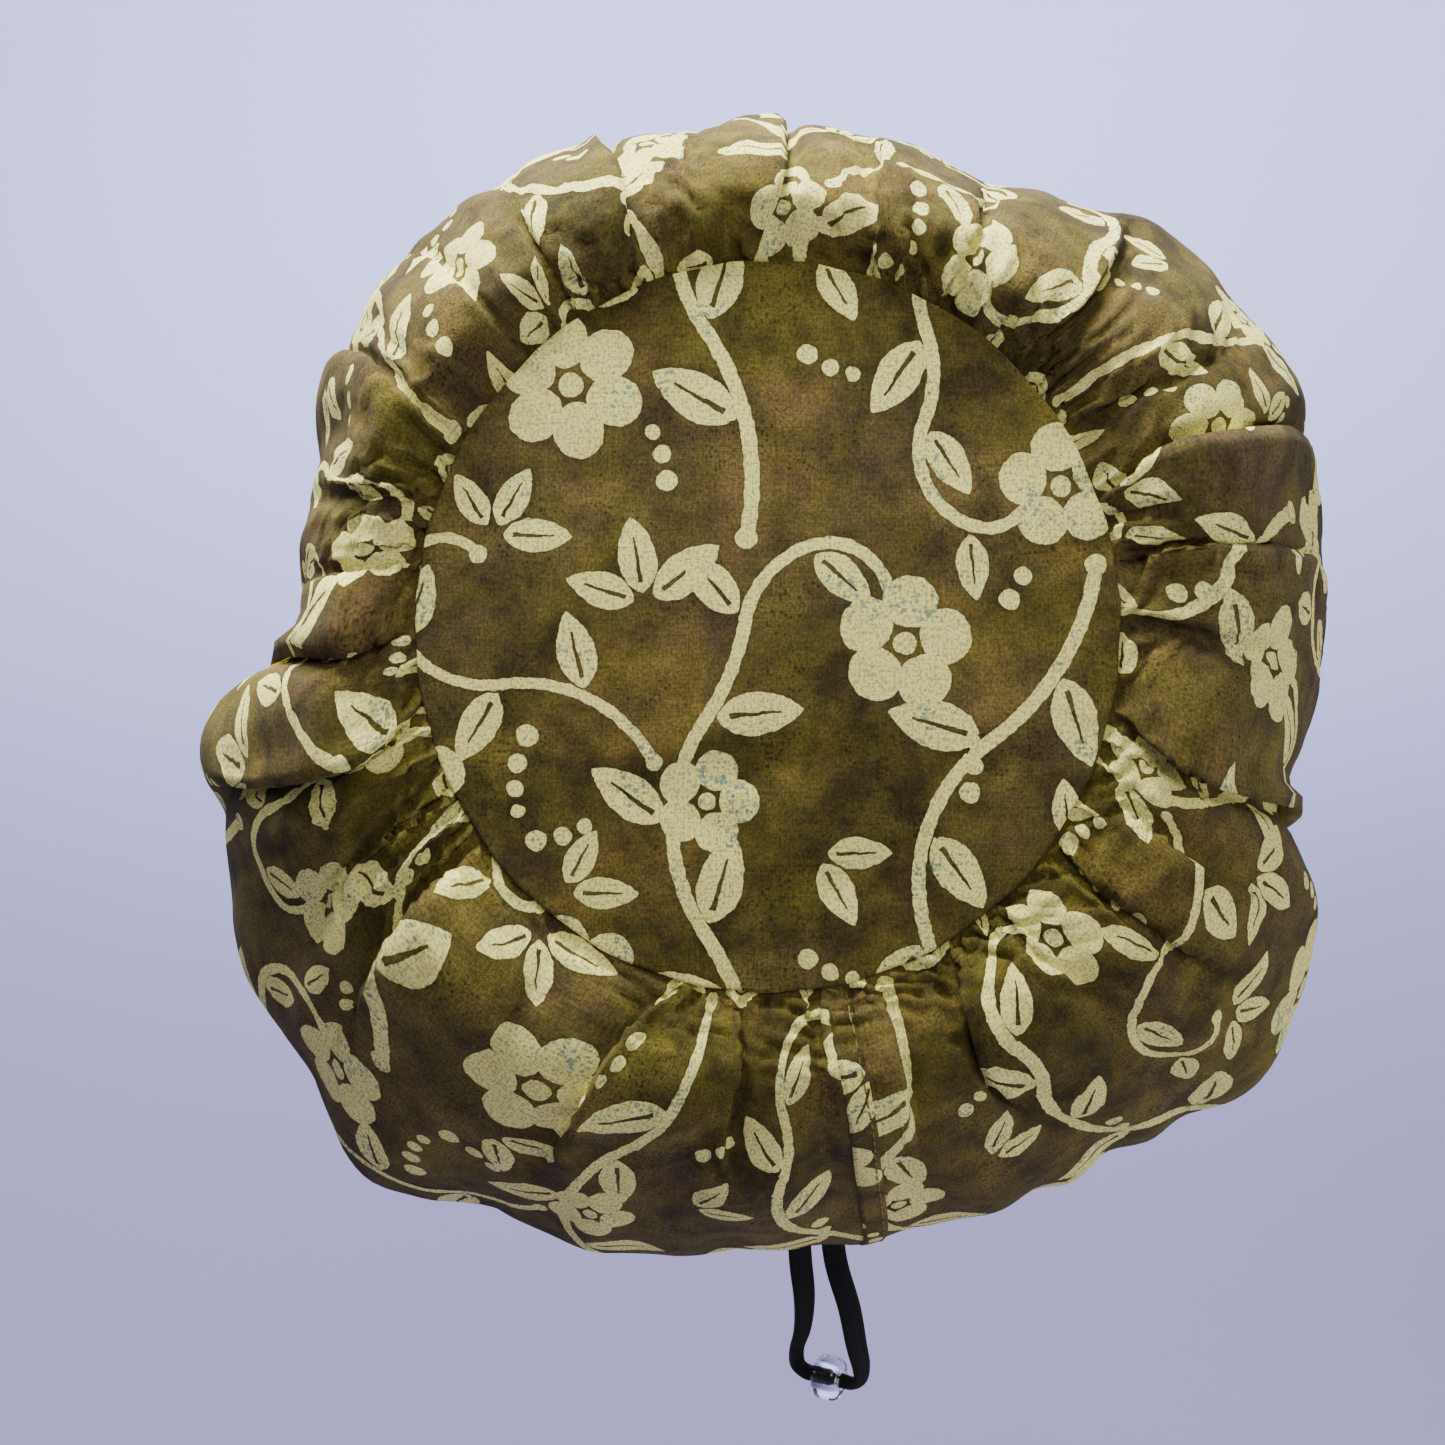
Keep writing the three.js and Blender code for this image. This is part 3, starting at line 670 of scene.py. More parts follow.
def closed_wall(name, outer, uv, thickness):
    """A closed cloth wall: the outer grid, a face inside it and two rims, with its flat places."""
    columns, rows = outer.shape[:2]
    inner = outer - grid_normals(outer) * thickness
    points = np.concatenate([outer.reshape(-1, 3), inner.reshape(-1, 3)])
    offset = columns * rows
    quads = ring_faces(columns, rows)
    left = np.arange(columns) * rows
    right = np.roll(left, -1)
    first = np.stack([left, right, right + offset, left + offset], axis=-1)
    last = first[:, ::-1] + rows - 1
    faces = np.concatenate([quads, quads[:, ::-1] + offset, first, last])
    mesh = mesh_from(name, points, faces.tolist())
    write_uv(mesh, np.concatenate([uv.reshape(-1, 2)] * 2), True)
    return mesh


def hemmed_panel():
    casing = np.stack([
        opening_point(PANEL_ANGLES, raised * MM, outward * MM + RUFFLE * share * hem_fold)
        for raised, outward, share in CASING_ROWS], axis=1)
    grid = np.concatenate([panel_grid, casing], axis=1)
    steps = step_lengths(grid[:, PANEL_ROWS - 1:], 1).mean(axis=0)
    walked = np.concatenate([panel_walked, panel_walked[:, -1:] + np.cumsum(steps)[None]], axis=1)
    across = np.arange(PANEL_COLUMNS)[:, None] / PANEL_COLUMNS * ROUND_LENGTH
    return grid, np.stack(np.broadcast_arrays(across, walked), axis=-1)


hemmed_grid, hemmed_uv = hemmed_panel()
panel = new_object("gathered_panel", closed_wall("gathered_panel", hemmed_grid, hemmed_uv, CLOTH_THICKNESS))

# %% [markdown]
# The back disc is one flat circle, a little domed as it is when worn. Its edge is turned under and
# lies over the gathers, where the stitches pucker it slightly. It is a grid in polar order that starts
# and ends at a pole, so it closes like a flattened ball.
# %% Back disc
DISC_COLUMNS = 192
DISC_DOME = 4 * MM
DISC_PUCKER = 0.35 * MM
DISC_EDGE = 0.8 * MM
DISC_PRINT_SHIFT = (0.317, 0.122)
DISC_ROWS = 45
DISC_ROW_CROWDING = 1.4
ROLL_STEPS = 9

# Dents: across, rise from the disc's middle, reach across, reach up, turn in degrees, depth, all in mm
DENTS = [
    (-48, 34, 26, 9, 20, 0.7), (30, 48, 30, 10, -25, 0.5), (2, -32, 24, 5, 8, 1.0),
    (-14, -45, 18, 6, -20, 0.7), (44, -8, 8, 30, 10, 0.6), (-58, -20, 7, 22, -15, 0.6),
    (18, -58, 26, 6, 12, 0.6), (-20, 8, 34, 14, 40, 0.5),
]


def disc_dents(across, up, turn, edge):
    lowered = np.zeros_like(across)
    for x, y, wide, high, heading, depth in DENTS:
        c, s = math.cos(math.radians(heading)), math.sin(math.radians(heading))
        dx, dy = across / MM - x, up / MM - y
        lowered += depth * MM * np.exp(-(((dx * c + dy * s) / wide) ** 2) - ((dy * c - dx * s) / high) ** 2)
    pucker = np.sin(turn * 47 + 2.5 * np.sin(turn * 5)) + 0.7 * np.sin(turn * 76 + 2 * np.sin(turn * 7))
    return lowered + DISC_PUCKER * pucker * np.exp(-edge / (5 * MM)) * (0.6 + 0.4 * np.sin(turn * 3 + 1))


def disc_grid():
    """Rows run from the middle of the outer face to the rim, round it, and back inside to the middle."""
    turn = round_turns(DISC_COLUMNS)[:, None]
    roll = np.linspace(0, math.pi, ROLL_STEPS)[1:-1]
    outer = 1 - np.linspace(1, 0, DISC_ROWS)[1:] ** DISC_ROW_CROWDING
    inner = outer[::-1][::4]
    inset = np.concatenate([(1 - outer) * DISC_WIDTH / 2, -DISC_EDGE * np.sin(roll),
                            (1 - inner) * DISC_WIDTH / 2])
    below = np.concatenate([np.zeros(len(outer)), DISC_EDGE * (1 - np.cos(roll)),
                            np.full(len(inner), 2 * DISC_EDGE)])
    size = 1 - inset / (DISC_WIDTH / 2)
    across = size * DISC_WIDTH / 2 * np.cos(turn)
    up = size * DISC_HEIGHT / 2 * np.sin(turn)
    edge = np.abs(inset)[None] + np.zeros_like(across)
    dome = DISC_DOME * (1 - np.minimum(size, 1)[None] ** 2)
    back = DISC_BACK + dome - below[None] - disc_dents(across, up, turn, edge)
    ripple = 1 + 0.0035 * np.sin(turn * 23 + 2 * np.sin(turn * 4)) * np.exp(-edge / (4 * MM))
    return cap_point(across * ripple, DISC_RISE + up * ripple, back), np.stack([across, up], axis=-1)


def disc_mesh(name):
    grid, uv = disc_grid()
    columns, rows = grid.shape[:2]
    poles = np.stack([grid[:, 0].mean(axis=0), grid[:, -1].mean(axis=0)])
    points = np.concatenate([grid.reshape(-1, 3), poles])
    faces = ring_faces(columns, rows).tolist()
    top, bottom = columns * rows, columns * rows + 1
    for column in range(columns):
        here, there = column * rows, (column + 1) % columns * rows
        faces.append([top, here, there])
        faces.append([bottom, there + rows - 1, here + rows - 1])
    mesh = mesh_from(name, points, faces)
    write_uv(mesh, np.concatenate([uv.reshape(-1, 2), np.zeros((2, 2))]) + np.array(DISC_PRINT_SHIFT))
    return mesh


disc = new_object("back_disc", disc_mesh("back_disc"))
print("disc faces", len(disc.data.polygons))

# %% [markdown]
# The panel is a strip joined into a round by one seam at the back. Its seam allowance is pressed to one
# side and stitched down, which shows as a narrow flap, half a millimetre proud. The flap is a strip laid
# on the panel: each of its rows is read at even distances from the seam along a row of the panel.
# %% Back seam flap
FLAP_WIDTH = 6.4 * MM
FLAP_PROUD = 0.5 * MM
FLAP_SINK = 0.1 * MM
# The flap's height from the seam to its edge, as shares of how proud it stands
FLAP_EDGE = np.array([0.25, 0.9, 1, 1, 1, 1, 0.55])
FLAP_STEPS = len(FLAP_EDGE)
FLAP_PRINT_SHIFT = (0.406, 0.051)
NEAR_SEAM = 14
STITCH_INSET = 1.3 * MM


def beside_seam(row, distance, proud):
    """Points at a distance before the back seam, along one row of the panel's grid."""
    near = np.arange(0, -NEAR_SEAM - 1, -1)
    walked = walked_along(panel_grid[near, row])
    normal = grid_normals(panel_grid[:, row - 1:row + 2])[near, 1]
    point, away = (np.stack([np.interp(distance, walked, values[:, k]) for k in range(3)], axis=-1)
                   for values in (panel_grid[near, row], normal))
    return point + away * proud


def flap_mesh(name):
    rows = np.arange(1, PANEL_ROWS - 1)
    distance = np.linspace(-0.02, 1, FLAP_STEPS) * FLAP_WIDTH
    top, bottom = (np.stack([beside_seam(row, distance, proud) for row in rows], axis=1)
                   for proud in (FLAP_PROUD * FLAP_EDGE[:, None], -FLAP_SINK))
    loop = np.concatenate([top[::-1], bottom], axis=0)
    faces = ring_faces(2 * FLAP_STEPS, len(rows)).tolist() + end_faces(2 * FLAP_STEPS, len(rows))
    mesh = mesh_from(name, loop.reshape(-1, 3), faces)
    across = np.concatenate([distance[::-1], distance])[:, None]
    flat = np.stack(np.broadcast_arrays(across, panel_walked[-1, rows]), axis=-1).reshape(-1, 2)
    write_uv(mesh, flat + np.array(FLAP_PRINT_SHIFT))
    return mesh


flap = new_object("seam_flap", flap_mesh("seam_flap"))
print("flap faces", len(flap.data.polygons))

# %% [markdown]
# The print is a plain leaf-and-blossom design of its own, in the colours and at the scale of a waxed and
# dyed cotton. It is charted on one repeat: stems are walked like a turtle, arc by arc, with a leaf at
# each joint, and blossoms, berries and sprigs fill the gaps. Each mark is one of four simple shapes.
# %% Chart of the print
PRINT_WIDTH = 150
PRINT_HEIGHT = 138
LEAF, ARC, DOT, BLOSSOM = 0, 1, 2, 3
STEM_STROKE = 3.4
SHOOT_STROKE = 2.6
LEAF_FULLNESS = 0.5
LEAF_ROUNDNESS = 0.75
LEAF_TAPER = 0.22
LEAF_SPREAD = 62
LEAF_GAP = 1
SPRIG_GAP = 2.5
DOT_GAP = 1.4
SPRAY_BEND = 14
# So that one arc of a stem runs on into the next, in radians
ARC_OVERLAP = 0.01

# Each stem: start across and up, heading, stroke; then steps of turn radius, sweep, leaf angle, leaf length
STEMS = [
    ((12, 4, 78, STEM_STROKE),
     [(62, 24, 48, 22), (62, 22, -50, 21), (-44, 34, 54, 20), (-44, 34, -50, 20), (58, 24, 52, 18),
      (-22, 60, -62, 17), (-14, 95, 0, 0), (-9, 100, 0, 0)]),
    ((92, 136, 262, STEM_STROKE),
     [(-60, 24, 50, 21), (-60, 22, -52, 22), (40, 36, 54, 20), (40, 36, -52, 20), (-30, 40, 54, 17),
      (18, 90, -62, 15), (11, 120, 0, 0)]),
    ((141, 22, 118, SHOOT_STROKE),
     [(34, 36, -50, 18), (34, 34, 52, 18), (-24, 60, -54, 17), (-16, 90, 60, 14), (-10, 90, 0, 0)]),
]

# Blossoms: across, up, turn, radius, petals
BLOSSOMS = [(48, 118, 10, 15.5, 5), (122, 108, 40, 17.0, 6), (84, 16, 25, 14.5, 5), (3, 82, 0, 12.0, 5)]

# Sprays of berries: across, up, heading, dots, first radius
SPRAYS = [(112, 28, 250, 4, 2.6), (26, 46, 330, 3, 2.3), (144, 86, 100, 3, 2.4), (63, 84, 80, 4, 2.4),
          (114, 4, 10, 3, 2.4), (72, 128, 60, 2, 2.4)]

# Sprigs of loose leaves: across, up, heading, length, leaves
SPRIGS = [(139, 58, 100, 19, 3), (104, 74, 60, 16, 3), (120, 130, 31, 15, 2), (28, 70, 330, 16, 2)]


def walk(across, up, heading, distance):
    turn = math.radians(heading)
    return across + math.cos(turn) * distance, up + math.sin(turn) * distance


def leaf(across, up, heading, gap, length):
    """A leaf that starts a gap away from where it grows."""
    middle = walk(*walk(across, up, heading, gap), heading, length / 2)
    return (LEAF, *middle, math.radians(heading), length / 2, LEAF_FULLNESS, 1)


def dot(across, up, radius):
    return (DOT, across, up, 0, radius, 0, 0)


def stem(start, steps):
    across, up, heading, stroke = start
    marks = [dot(across, up, stroke * 0.75)]
    for radius, sweep, leaf_angle, leaf_length in steps:
        side, size = math.copysign(1, radius), abs(radius)
        first, half = heading - side * 90, math.radians(sweep) / 2
        centre = walk(across, up, first, -size)
        marks.append((ARC, *centre, math.radians(first) + side * half, size, stroke / 2 / size,
                      half + ARC_OVERLAP))
        across, up = walk(*centre, first + side * sweep, size)
        heading += side * sweep
        if leaf_length:
            marks.append(leaf(across, up, heading + leaf_angle, stroke / 2 + LEAF_GAP, leaf_length))
        stroke *= 0.97
    marks.append(dot(across, up, stroke * 0.95))
    return marks


def spray(across, up, heading, count, radius):
    marks = []
    for _ in range(count):
        marks.append(dot(across, up, radius))
        across, up = walk(across, up, heading, radius * 2 + DOT_GAP)
        heading += SPRAY_BEND
        radius *= 0.86
    return marks


def sprig(across, up, heading, length, leaves):
    middle = (leaves - 1) / 2
    return [leaf(across, up, heading + (index - middle) * LEAF_SPREAD, SPRIG_GAP, length * 0.93 ** index)
            for index in range(leaves)]


def print_chart():
    """Rows of kind, across, up, turn, size, and two numbers for the shape, all in mm and radians."""
    marks = [(BLOSSOM, across, up, math.radians(heading), size, petals, 0)
             for across, up, heading, size, petals in BLOSSOMS]
    for draw, table in ((stem, STEMS), (spray, SPRAYS), (sprig, SPRIGS)):
        for row in table:
            marks += draw(*row)
    return np.array(marks, dtype=float)


chart = print_chart()
print("marks in one repeat:", len(chart))

# %% [markdown]
# A mark that crosses many faces is drawn in the shader, from its own flat coordinates. So each face is
# told which two marks lie nearest to it, and each of its corners gets its place in those marks' own
# coordinates. Inside a face they run straight, as the UV map does, so the edges come out crisp.
# %% Printing a piece
PRINT_REACH = 9


def repeated_marks(low, high):
    """Every mark of the repeats, in half-drop columns, that reaches a box of flat cloth."""
    copies = []
    for column in range(int(low[0] // PRINT_WIDTH) - 1, int(high[0] // PRINT_WIDTH) + 2):
        for row in range(int(low[1] // PRINT_HEIGHT) - 2, int(high[1] // PRINT_HEIGHT) + 2):
            copy = chart.copy()
            copy[:, 1] += column * PRINT_WIDTH
            copy[:, 2] += (row + column % 2 / 2) * PRINT_HEIGHT
            copies.append(copy)
    return np.concatenate(copies)


def mark_place(across, up, mark):
    """Flat places in a mark's own coordinates, in units of its size."""
    dx, dy = across - mark[..., 1], up - mark[..., 2]
    c, s = np.cos(mark[..., 3]), np.sin(mark[..., 3])
    return (dx * c + dy * s) / mark[..., 4], (dy * c - dx * s) / mark[..., 4]


def mark_distance(across, up, mark):
    """About how far, in mm, a place lies outside a mark."""
    x, y = mark_place(across, up, mark)
    if mark[0] == LEAF:
        width = mark[5] * np.maximum(1 - x * x, 0) ** LEAF_ROUNDNESS * (1 - LEAF_TAPER * x)
        gap = np.where(np.abs(x) < 1, np.abs(y) - width, np.hypot(np.abs(x) - 1, y))
    elif mark[0] == ARC:
        past = np.hypot(x - math.cos(mark[6]), np.abs(y) - math.sin(mark[6])) - mark[5] * 0.2
        gap = np.where(np.abs(np.arctan2(y, x)) < mark[6], np.abs(np.hypot(x, y) - 1) - mark[5], past)
    else:
        gap = np.hypot(x, y) - 1
    return gap * mark[4]


def nearest_marks(centre, marks):
    """For each place, the rows of the two nearest marks, or -1."""
    gaps = np.full((2, len(centre)), float(PRINT_REACH))
    rows = np.full((2, len(centre)), -1)
    for index, mark in enumerate(marks):
        reach = mark[4] * 1.1 + PRINT_REACH
        near = np.nonzero((np.abs(centre - mark[1:3]) < reach).all(axis=1))[0]
        if not len(near):
            continue
        gap = mark_distance(centre[near, 0], centre[near, 1], mark)
        best = gap < gaps[0, near]
        first, second = near[best], near[~best & (gap < gaps[1, near])]
        gaps[1, first], rows[1, first] = gaps[0, first], rows[0, first]
        gaps[0, first], rows[0, first] = gap[best], index
        gaps[1, second], rows[1, second] = gap[~best & (gap < gaps[1, near])], index
    return rows


def print_cloth(piece):
    mesh = piece.data
    uv = np.empty(len(mesh.loops) * 2, dtype=np.float32)
    mesh.uv_layers["cloth"].data.foreach_get("uv", uv)
    uv = uv.reshape(-1, 2).astype(float) / MM
    sides = whole_numbers(mesh.polygons, "loop_total")
    face = np.repeat(np.arange(len(sides)), sides)
    centre = np.stack([np.bincount(face, uv[:, k]) / sides for k in (0, 1)], axis=1)
    marks = repeated_marks(uv.min(axis=0), uv.max(axis=0))
    for letter, rows in zip("ab", nearest_marks(centre, marks)):
        row = rows[face]
        mark = marks[row]
        x, y = mark_place(uv[:, 0], uv[:, 1], mark)
        place = np.stack([x, y, mark[:, 4]], axis=1)
        shape = np.stack([np.where(row < 0, -1, mark[:, 0]), mark[:, 5], mark[:, 6]], axis=1)
        for name, values in (("mark_place_", place), ("mark_shape_", shape)):
            layer = mesh.attributes.new(name + letter, "FLOAT_VECTOR", "CORNER")
            layer.data.foreach_set("vector", values.astype(np.float32).ravel())
    print(piece.name, "printed,", len(marks), "marks in reach")


for piece in (panel, disc, flap):
    print_cloth(piece)

# %% [markdown]
# Several finishes share an effect, so each effect is a node group with named inputs. A small builder
# keeps the recipes short: it adds a node, sets or links its inputs, and hands back its output. The groups
# put out only values that change over the surface, and each material keeps its own shader.
# %% Node builder
class Recipe:
    """Adds nodes to a tree: each call sets or links the inputs and returns the first output."""

    def __init__(self, tree):
        self.tree = tree

    def put(self, socket, value):
        if isinstance(value, bpy.types.NodeSocket):
            self.tree.links.new(value, socket)
        elif value is not None:
            socket.default_value = value

    def node(self, kind, inputs=(), **settings):
        node = self.tree.nodes.new(kind)
        for name, value in settings.items():
            setattr(node, name, value)
        for name, value in dict(inputs).items():
            self.put(node.inputs[name], value)
        return node

    def math(self, operation, first, second=None, third=None):
        node = self.node("ShaderNodeMath", operation=operation)
        for socket, value in zip(node.inputs, (first, second, third)):
            self.put(socket, value)
        return node.outputs[0]

    def plus(self, first, second):
        return self.math("ADD", first, second)

    def minus(self, first, second):
        return self.math("SUBTRACT", first, second)

    def times(self, first, second):
        return self.math("MULTIPLY", first, second)

    def vector(self, operation, first, second):
        node = self.node("ShaderNodeVectorMath", operation=operation)
        self.put(node.inputs[0], first)
        self.put(node.inputs[1], second)
        return node.outputs[0]

    def split(self, vector):
        return self.node("ShaderNodeSeparateXYZ", {"Vector": vector}).outputs

    def noise(self, vector, scale, detail=2.0, roughness=0.5, distortion=0.0):
        inputs = {"Vector": vector, "Scale": scale, "Detail": detail, "Roughness": roughness,
                  "Distortion": distortion}
        return self.node("ShaderNodeTexNoise", inputs).outputs[0]

    def spots(self, vector, scale):
        """How far the nearest spot's middle is, and three chance values of that spot."""
        spots = self.node("ShaderNodeTexVoronoi", {"Vector": vector, "Scale": scale})
        return spots.outputs["Distance"], self.split(spots.outputs["Color"])

    def between(self, value, low, high, start=0.0, end=1.0):
        inputs = {"Value": value, "From Min": low, "From Max": high, "To Min": start, "To Max": end}
        return self.node("ShaderNodeMapRange", inputs, interpolation_type="SMOOTHSTEP").outputs[0]

    def blend(self, share, first, second, how="MIX"):
        node = self.node("ShaderNodeMix", data_type="RGBA", blend_type=how)
        self.put(node.inputs[0], share)
        self.put(node.inputs[6], first)
        self.put(node.inputs[7], second)
        return node.outputs[2]


def new_group(name, inputs, outputs, kind_of_tree="ShaderNodeTree"):
    """A group with named sockets, as (tree, recipe, its inputs, its output node)."""
    tree = bpy.data.node_groups.new(name, kind_of_tree)
    for side, sockets in (("INPUT", inputs), ("OUTPUT", outputs)):
        for label, kind, value in sockets:
            socket = tree.interface.new_socket(name=label, in_out=side, socket_type=kind)
            if value is not None:
                socket.default_value = value
    return tree, Recipe(tree), tree.nodes.new("NodeGroupInput").outputs, tree.nodes.new("NodeGroupOutput")


def placed(recipe, tree, inputs):
    group = recipe.node("ShaderNodeGroup", node_tree=tree)
    for name, value in inputs.items():
        recipe.put(group.inputs[name], value)
    return group.outputs


def dye(red, green, blue):
    """A colour read off a screen, from 0 to 255, in the linear values that shaders use."""
    shares = [value / 255 for value in (red, green, blue)]
    return (*(share / 12.92 if share < 0.04 else ((share + 0.055) / 1.055) ** 2.4 for share in shares), 1.0)


# %% [markdown]
# One printed mark: how deep, in mm, a point lies inside it. A leaf is widest near its stalk and keeps an
# unprinted vein, a stem is a stretch of a ring, a berry is a circle and a blossom folds the round into
# equal petals. Noise shifts the edges a little, as melted wax does.
# %% Printed mark group
FLOAT, VECTOR = "NodeSocketFloat", "NodeSocketVector"
# In half leaf lengths: how far a leaf's edge is drawn in, the middle of its vein and the vein's reach
# either way, and the vein's half width and taper
LEAF_INSET = 0.012
VEIN_REACH = (-0.12, 0.6)
VEIN_WIDTH = 0.042
VEIN_TAPER = 0.035
# In shares of the blossom's radius
PETAL_LENGTH = 0.38
PETAL_WIDTH = 2.05
BLOSSOM_EYE = 0.17


def mark_group():
    tree, r, given, out = new_group(
        "printed_mark", [("Place", VECTOR, None), ("Shape", VECTOR, None), ("Wobble", VECTOR, None)],
        [("Depth", FLOAT, None)])
    across, up, size = r.split(given["Place"])
    kind, first, second = r.split(given["Shape"])
    wobble = r.split(given["Wobble"])
    x = r.plus(across, r.math("DIVIDE", wobble[0], size))
    y = r.plus(up, r.math("DIVIDE", wobble[1], size))
    abs_x, abs_y = (r.math("ABSOLUTE", value) for value in (x, y))

    def hypotenuse(along, over):
        return r.math("SQRT", r.math("MULTIPLY_ADD", along, along, r.times(over, over)))

    def blade_depth():
        round_off = r.math("POWER", r.math("MAXIMUM", r.minus(1.0, r.times(x, x)), 0.0), LEAF_ROUNDNESS)
        taper = r.math("MULTIPLY_ADD", x, -LEAF_TAPER, 1.0)
        blade = r.times(r.times(round_off, taper), first)
        past_tip = r.math("MAXIMUM", r.minus(abs_x, 1.0), 0.0)
        inside = r.minus(r.minus(blade, abs_y), r.plus(past_tip, LEAF_INSET))
        on_vein = r.math("COMPARE", x, *VEIN_REACH)
        vein = r.times(r.math("MULTIPLY_ADD", x, -VEIN_TAPER, VEIN_WIDTH), on_vein)
        return r.math("MINIMUM", inside, r.minus(abs_y, r.minus(vein, r.minus(1.0, on_vein))))

    radius = hypotenuse(x, y)
    theta = r.math("ARCTAN2", y, x)
    in_sweep = r.math("LESS_THAN", r.math("ABSOLUTE", theta), second)
    ring = r.minus(first, r.math("ABSOLUTE", r.minus(radius, 1.0)))

    def petal_depth():
        petals = r.math("MAXIMUM", first, 1.0)
        sector = r.math("DIVIDE", 2 * math.pi, petals)
        folded = r.math("WRAP", theta, r.times(sector, 0.5), r.times(sector, -0.5))
        out_along = r.math("MULTIPLY_ADD", radius, r.math("COSINE", folded), PETAL_LENGTH - 1)
        petal_x = r.math("DIVIDE", out_along, PETAL_LENGTH)
        petal_y = r.math("DIVIDE", r.times(radius, r.math("SINE", folded)),
                         r.math("DIVIDE", PETAL_WIDTH, petals))
        petal = r.times(r.minus(1.0, hypotenuse(petal_x, petal_y)), PETAL_LENGTH)
        return r.math("MAXIMUM", petal, r.minus(BLOSSOM_EYE, radius))

    # A mark's kind picks its depth: each other kind counts as one below the cloth
    depth = -1.0
    for number, part in ((LEAF, blade_depth()), (ARC, r.minus(ring, r.minus(1.0, in_sweep))),
                         (DOT, r.minus(1.0, radius)), (BLOSSOM, petal_depth())):
        depth = r.math("MULTIPLY_ADD", r.math("COMPARE", kind, number, 0.5), r.plus(part, 1.0), depth)
    r.put(out.inputs["Depth"], r.times(depth, size))
    return tree


printed_mark = mark_group()
print("mark group:", len(printed_mark.nodes), "nodes")

# %% [markdown]
# Weave shows twice: as tiny bumps where threads cross, and as long faint streaks where a thread is a
# little thicker or darker. The weave group gives both, in mm of flat cloth, for cotton and for elastic.
# The cloud group gives soft patches such as dye leaves when it pools in crumpled cloth.
# %% Weave and cloud groups
def weave_group():
    tree, r, given, out = new_group(
        "weave", [("Flat", VECTOR, None), ("Pitch", FLOAT, 0.42), ("Slub", FLOAT, 0.5)],
        [("Height", FLOAT, None), ("Shade", FLOAT, None)])
    across, up, _ = r.split(given["Flat"])
    turns = r.math("DIVIDE", 2 * math.pi, given["Pitch"])
    warp, weft = (r.math("SINE", r.times(way, turns)) for way in (across, up))
    crossing = r.times(warp, weft)
    long_way, wide_way = (r.noise(r.vector("MULTIPLY", given["Flat"], factors), 1.0, 2.0, 0.6)
                          for factors in ((2.6, 0.14, 1.0), (0.14, 2.6, 1.0)))
    slub = r.minus(r.plus(long_way, wide_way), 1.0)
    r.put(out.inputs["Height"], r.math("MULTIPLY_ADD", slub, given["Slub"], crossing))
    r.put(out.inputs["Shade"], r.math("MULTIPLY_ADD", slub, given["Slub"], 1.0))
    return tree


def cloud_group():
    tree, r, given, out = new_group(
        "dye_cloud", [("Flat", VECTOR, None), ("Patch", FLOAT, 30.0), ("Edge", FLOAT, 0.08)],
        [("Cloud", FLOAT, None)])
    scale = r.math("DIVIDE", 1.0, given["Patch"])
    pooled = r.noise(given["Flat"], scale, 5.0, 0.58, 0.4)
    edges = r.minus(0.5, given["Edge"]), r.plus(0.5, given["Edge"])
    r.put(out.inputs["Cloud"], r.between(pooled, *edges))
    return tree


weave = weave_group()
dye_cloud = cloud_group()
IN_MM = (1000.0, 1000.0, 1000.0)


def new_material(name, **settings):
    """A material, its recipe and its shader, whose plain values are given by name."""
    material = bpy.data.materials.new(name)
    material.use_nodes = True
    shader = material.node_tree.nodes["Principled BSDF"]
    for label, value in settings.items():
        shader.inputs[label.replace("_", " ")].default_value = value
    return material, Recipe(material.node_tree), shader


def flat_cloth(recipe):
    """The cloth's own flat place, in mm."""
    uv = recipe.node("ShaderNodeUVMap", uv_map="cloth").outputs[0]
    return recipe.vector("MULTIPLY", uv, IN_MM)


def solid_place(recipe):
    """The place on the piece itself, in mm."""
    return recipe.vector("MULTIPLY", recipe.node("ShaderNodeTexCoord").outputs["Object"], IN_MM)


def raised(recipe, shader, height):
    """Height in mm, as the shader's bumps."""
    bump = recipe.node("ShaderNodeBump", {"Strength": 1.0, "Distance": MM, "Height": height})
    recipe.put(shader.inputs["Normal"], bump.outputs[0])


# %% [markdown]
# The cotton is dyed twice over a wax print. Its ground runs from olive through yellow-green to brown in
# soft clouds, with dark specks where dye settled. The waxed marks stayed pale cream-green, and some
# caught teal flecks. The finish is matt, with a trace of sheen from loose fibre.
# %% Printed cotton
OLIVE = dye(98, 89, 33)
YELLOW_GREEN = dye(122, 112, 37)
BROWN = dye(105, 85, 38)
DEEP_OLIVE = dye(42, 36, 11)
TAN = dye(150, 124, 66)
DULL_PLUM = dye(110, 88, 66)
SPECK = dye(28, 23, 12)
CREAM = dye(253, 247, 150)
CREAM_SHADE = dye(245, 238, 142)
TEAL = dye(104, 146, 140)
THREAD_PITCH = 0.42
THREAD_HEIGHT = 0.055
CRUMPLE_HEIGHT = 0.55
# Half the width of the soft edge of a waxed mark, in mm, and the dark rim that the dye leaves outside it
WAX_EDGE = 0.07
DYE_RIM = (-0.9, -0.1)
DYE_RIM_SHARE = 0.22
SPECK_SHARE = 0.62
FLECK_SHARE = 0.75

# Patch size in mm, softness of its edge, where it is read, the share it covers with, and its colour
CLOUDS = [
    (85.0, 0.10, (0, 0, 0), 1.0, BROWN), (46.0, 0.12, (300, 70, 9), 0.75, YELLOW_GREEN),
    (26.0, 0.11, (150, 60, 7), 0.45, TAN), (30.0, 0.12, (90, 410, 3), 0.8, DEEP_OLIVE),
    (110.0, 0.05, (37, 520, 5), 0.35, DULL_PLUM), (12.0, 0.13, (510, 35, 2), 0.55, DEEP_OLIVE),
    (9.0, 0.12, (71, 205, 4), 0.32, YELLOW_GREEN),
]


